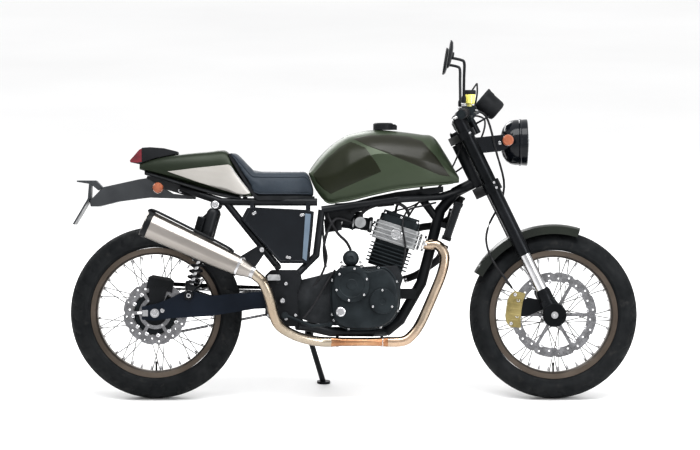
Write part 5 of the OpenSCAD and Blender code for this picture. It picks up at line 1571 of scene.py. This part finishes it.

# %% [markdown]
# ## Side covers
# The covers under the seat are moulded in gloss black. Each has a raised field, and a bevelled front edge
# whose long bright strip is a painted highlight: a lighter blue-grey colour that stands in for the sky's
# reflection.

# %% Side covers
PANEL = [(306, 640), (328, 681), (350, 683), (536, 674), (563, 668), (558, 600), (546, 484), (445, 484)]
panels = Shape()
for side in (1, -1):
    levels = [(1, 118.5), (1, 122.6), (0.985, 124.4), (0.93, 124.8), (0.915, 123.2), (0.90, 123.0),
              (0.4, 123.4)]
    panels.rings([[(x, side * y, z) for x, z in shrunk(PANEL, share)] for share, y in levels])
    # The bevelled strip, which carries the painted sky highlight.
    strip = [(557, 658), (534, 661), (524, 502), (543, 488)]
    panels.rings([[(x, side * y, z) for (x, z), y in zip(strip, depth)] for depth in
                  ((121, 121, 121, 121), (123.2, 127.6, 127.6, 123.2))], 2)
    panels.prism([(338, 680), (352, 680), (352, 702), (338, 702)], side * 118.5, side * 122.5)
    panels.prism([(536, 668), (550, 668), (550, 702), (536, 702)], side * 118.5, side * 122.5)
    for x, z in ((356, 664), (526, 656), (478, 504)):
        panels.bolt((x, side * 123, z), (0, side, 0), 5.5, 4, 1)
# The strip's lighter blue-grey colour is a painted highlight that stands in for the sky's reflection on the
# bevel.
sky_highlight_paint = finish("painted_sky_highlight", (0.06, 0.085, 0.12), (0.13, 0.17, 0.215), (0.26, 0.38), metal=0.5,
                    blotch=9, grain=900, strength=0.04, stretch=(1, 1, 0.3))
panels.make("side_covers", [gloss_black, bright, sky_highlight_paint], "chassis", "side_panels",
            bevel=0.8)

# %% [markdown]
# ## Hoses, wiring and electrics
# The space between the tank and the engine is filled with soft lines: coolant hoses from the head to the
# radiator, a breather, the ignition lead, and a taped loom along the frame, with a coil and a regulator
# beside it.

# %% Lines under the tank
LINES = (
    ([(1062, 62, 676), (1048, 66, 640), (1000, 66, 620), (950, 60, 612), (914, 48, 600)], 13),
    ([(1036, 58, 548), (1012, 60, 500), (975, 62, 470), (930, 62, 440), (886, 60, 424)], 13),
    ([(905, -40, 655), (888, -60, 684), (850, -74, 700), (800, -78, 694), (752, -66, 676), (716, -50, 640)],
     6),
    ([(856, 10, 652), (862, 2, 690), (890, -8, 712), (930, -6, 718)], 4.5),
    ([(700, -60, 628), (668, -72, 640), (640, -82, 640), (614, -86, 600), (600, -90, 540), (606, -96, 470)],
     5),
    ([(640, 84, 690), (700, 88, 694), (780, 86, 704), (860, 66, 712), (950, 40, 722), (1020, 20, 726)], 8),
    ([(1000, -34, 700), (960, -60, 690), (900, -72, 672), (880, -84, 620), (890, -96, 540), (880, -100, 470)],
     3.4),
    ([(696, -60, 530), (680, -66, 560), (650, -78, 590), (620, -84, 640), (610, -84, 676)], 5),
    ([(560, -98, 400), (590, -106, 440), (610, -100, 500), (600, -92, 560), (596, -88, 620)], 4),
    ([(640, -104, 460), (620, -112, 430), (590, -118, 380), (560, -120, 330), (530, -124, 290)], 4),
)
lines = Shape()
for points, r in LINES:
    lines.tube(smooth_path(points, 6), r, 14)
print("lines laid:", len(LINES))

# %% [markdown]
# The coil, the regulator, a ribbed box and the dark filling under the tank are plain prisms with rounded
# edges. The filling is painted shade: a dark block that stands in for the shade under the tank. Bright clamps
# hold the ends of the coolant hoses.

# %% Boxes and clamps under the tank
lines.prism([(690, 690), (760, 704), (766, 676), (696, 662)], -70, -24, 1)
lines.prism([(790, 706), (850, 712), (852, 690), (792, 684)], 20, 64, 1)
lines.prism([(600, 640), (652, 648), (656, 600), (604, 592)], -58, 60, 1)
lines.prism([(598, 688), (690, 695), (714, 662), (692, 634), (606, 628)], -60, 62, 1)
# Painted shade: a dark block laid along the tank's underside, standing in for the shade there.
lines.prism([(606, 686), (700, 701), (776, 721), (860, 738), (945, 749), (1026, 758), (1026, 738), (860, 706),
             (700, 684)], -62, 62, 1)
for x in range(604, 645, 10):
    lines.prism([(x, 596), (x + 3, 596), (x + 3, 646), (x, 646)], -64, -57, 1)
for x, z in ((914, 602), (1056, 668), (1030, 540), (892, 426)):
    lines.turned([(13.2, -4), (14.6, -4), (14.6, 4), (13.2, 4)], (x, 60, z), (-1, 0, -0.3), 24, 2, loop=True)
lines.make("hoses_and_wiring", [soft_rubber, moulded, bright], "chassis", bevel=0.6)
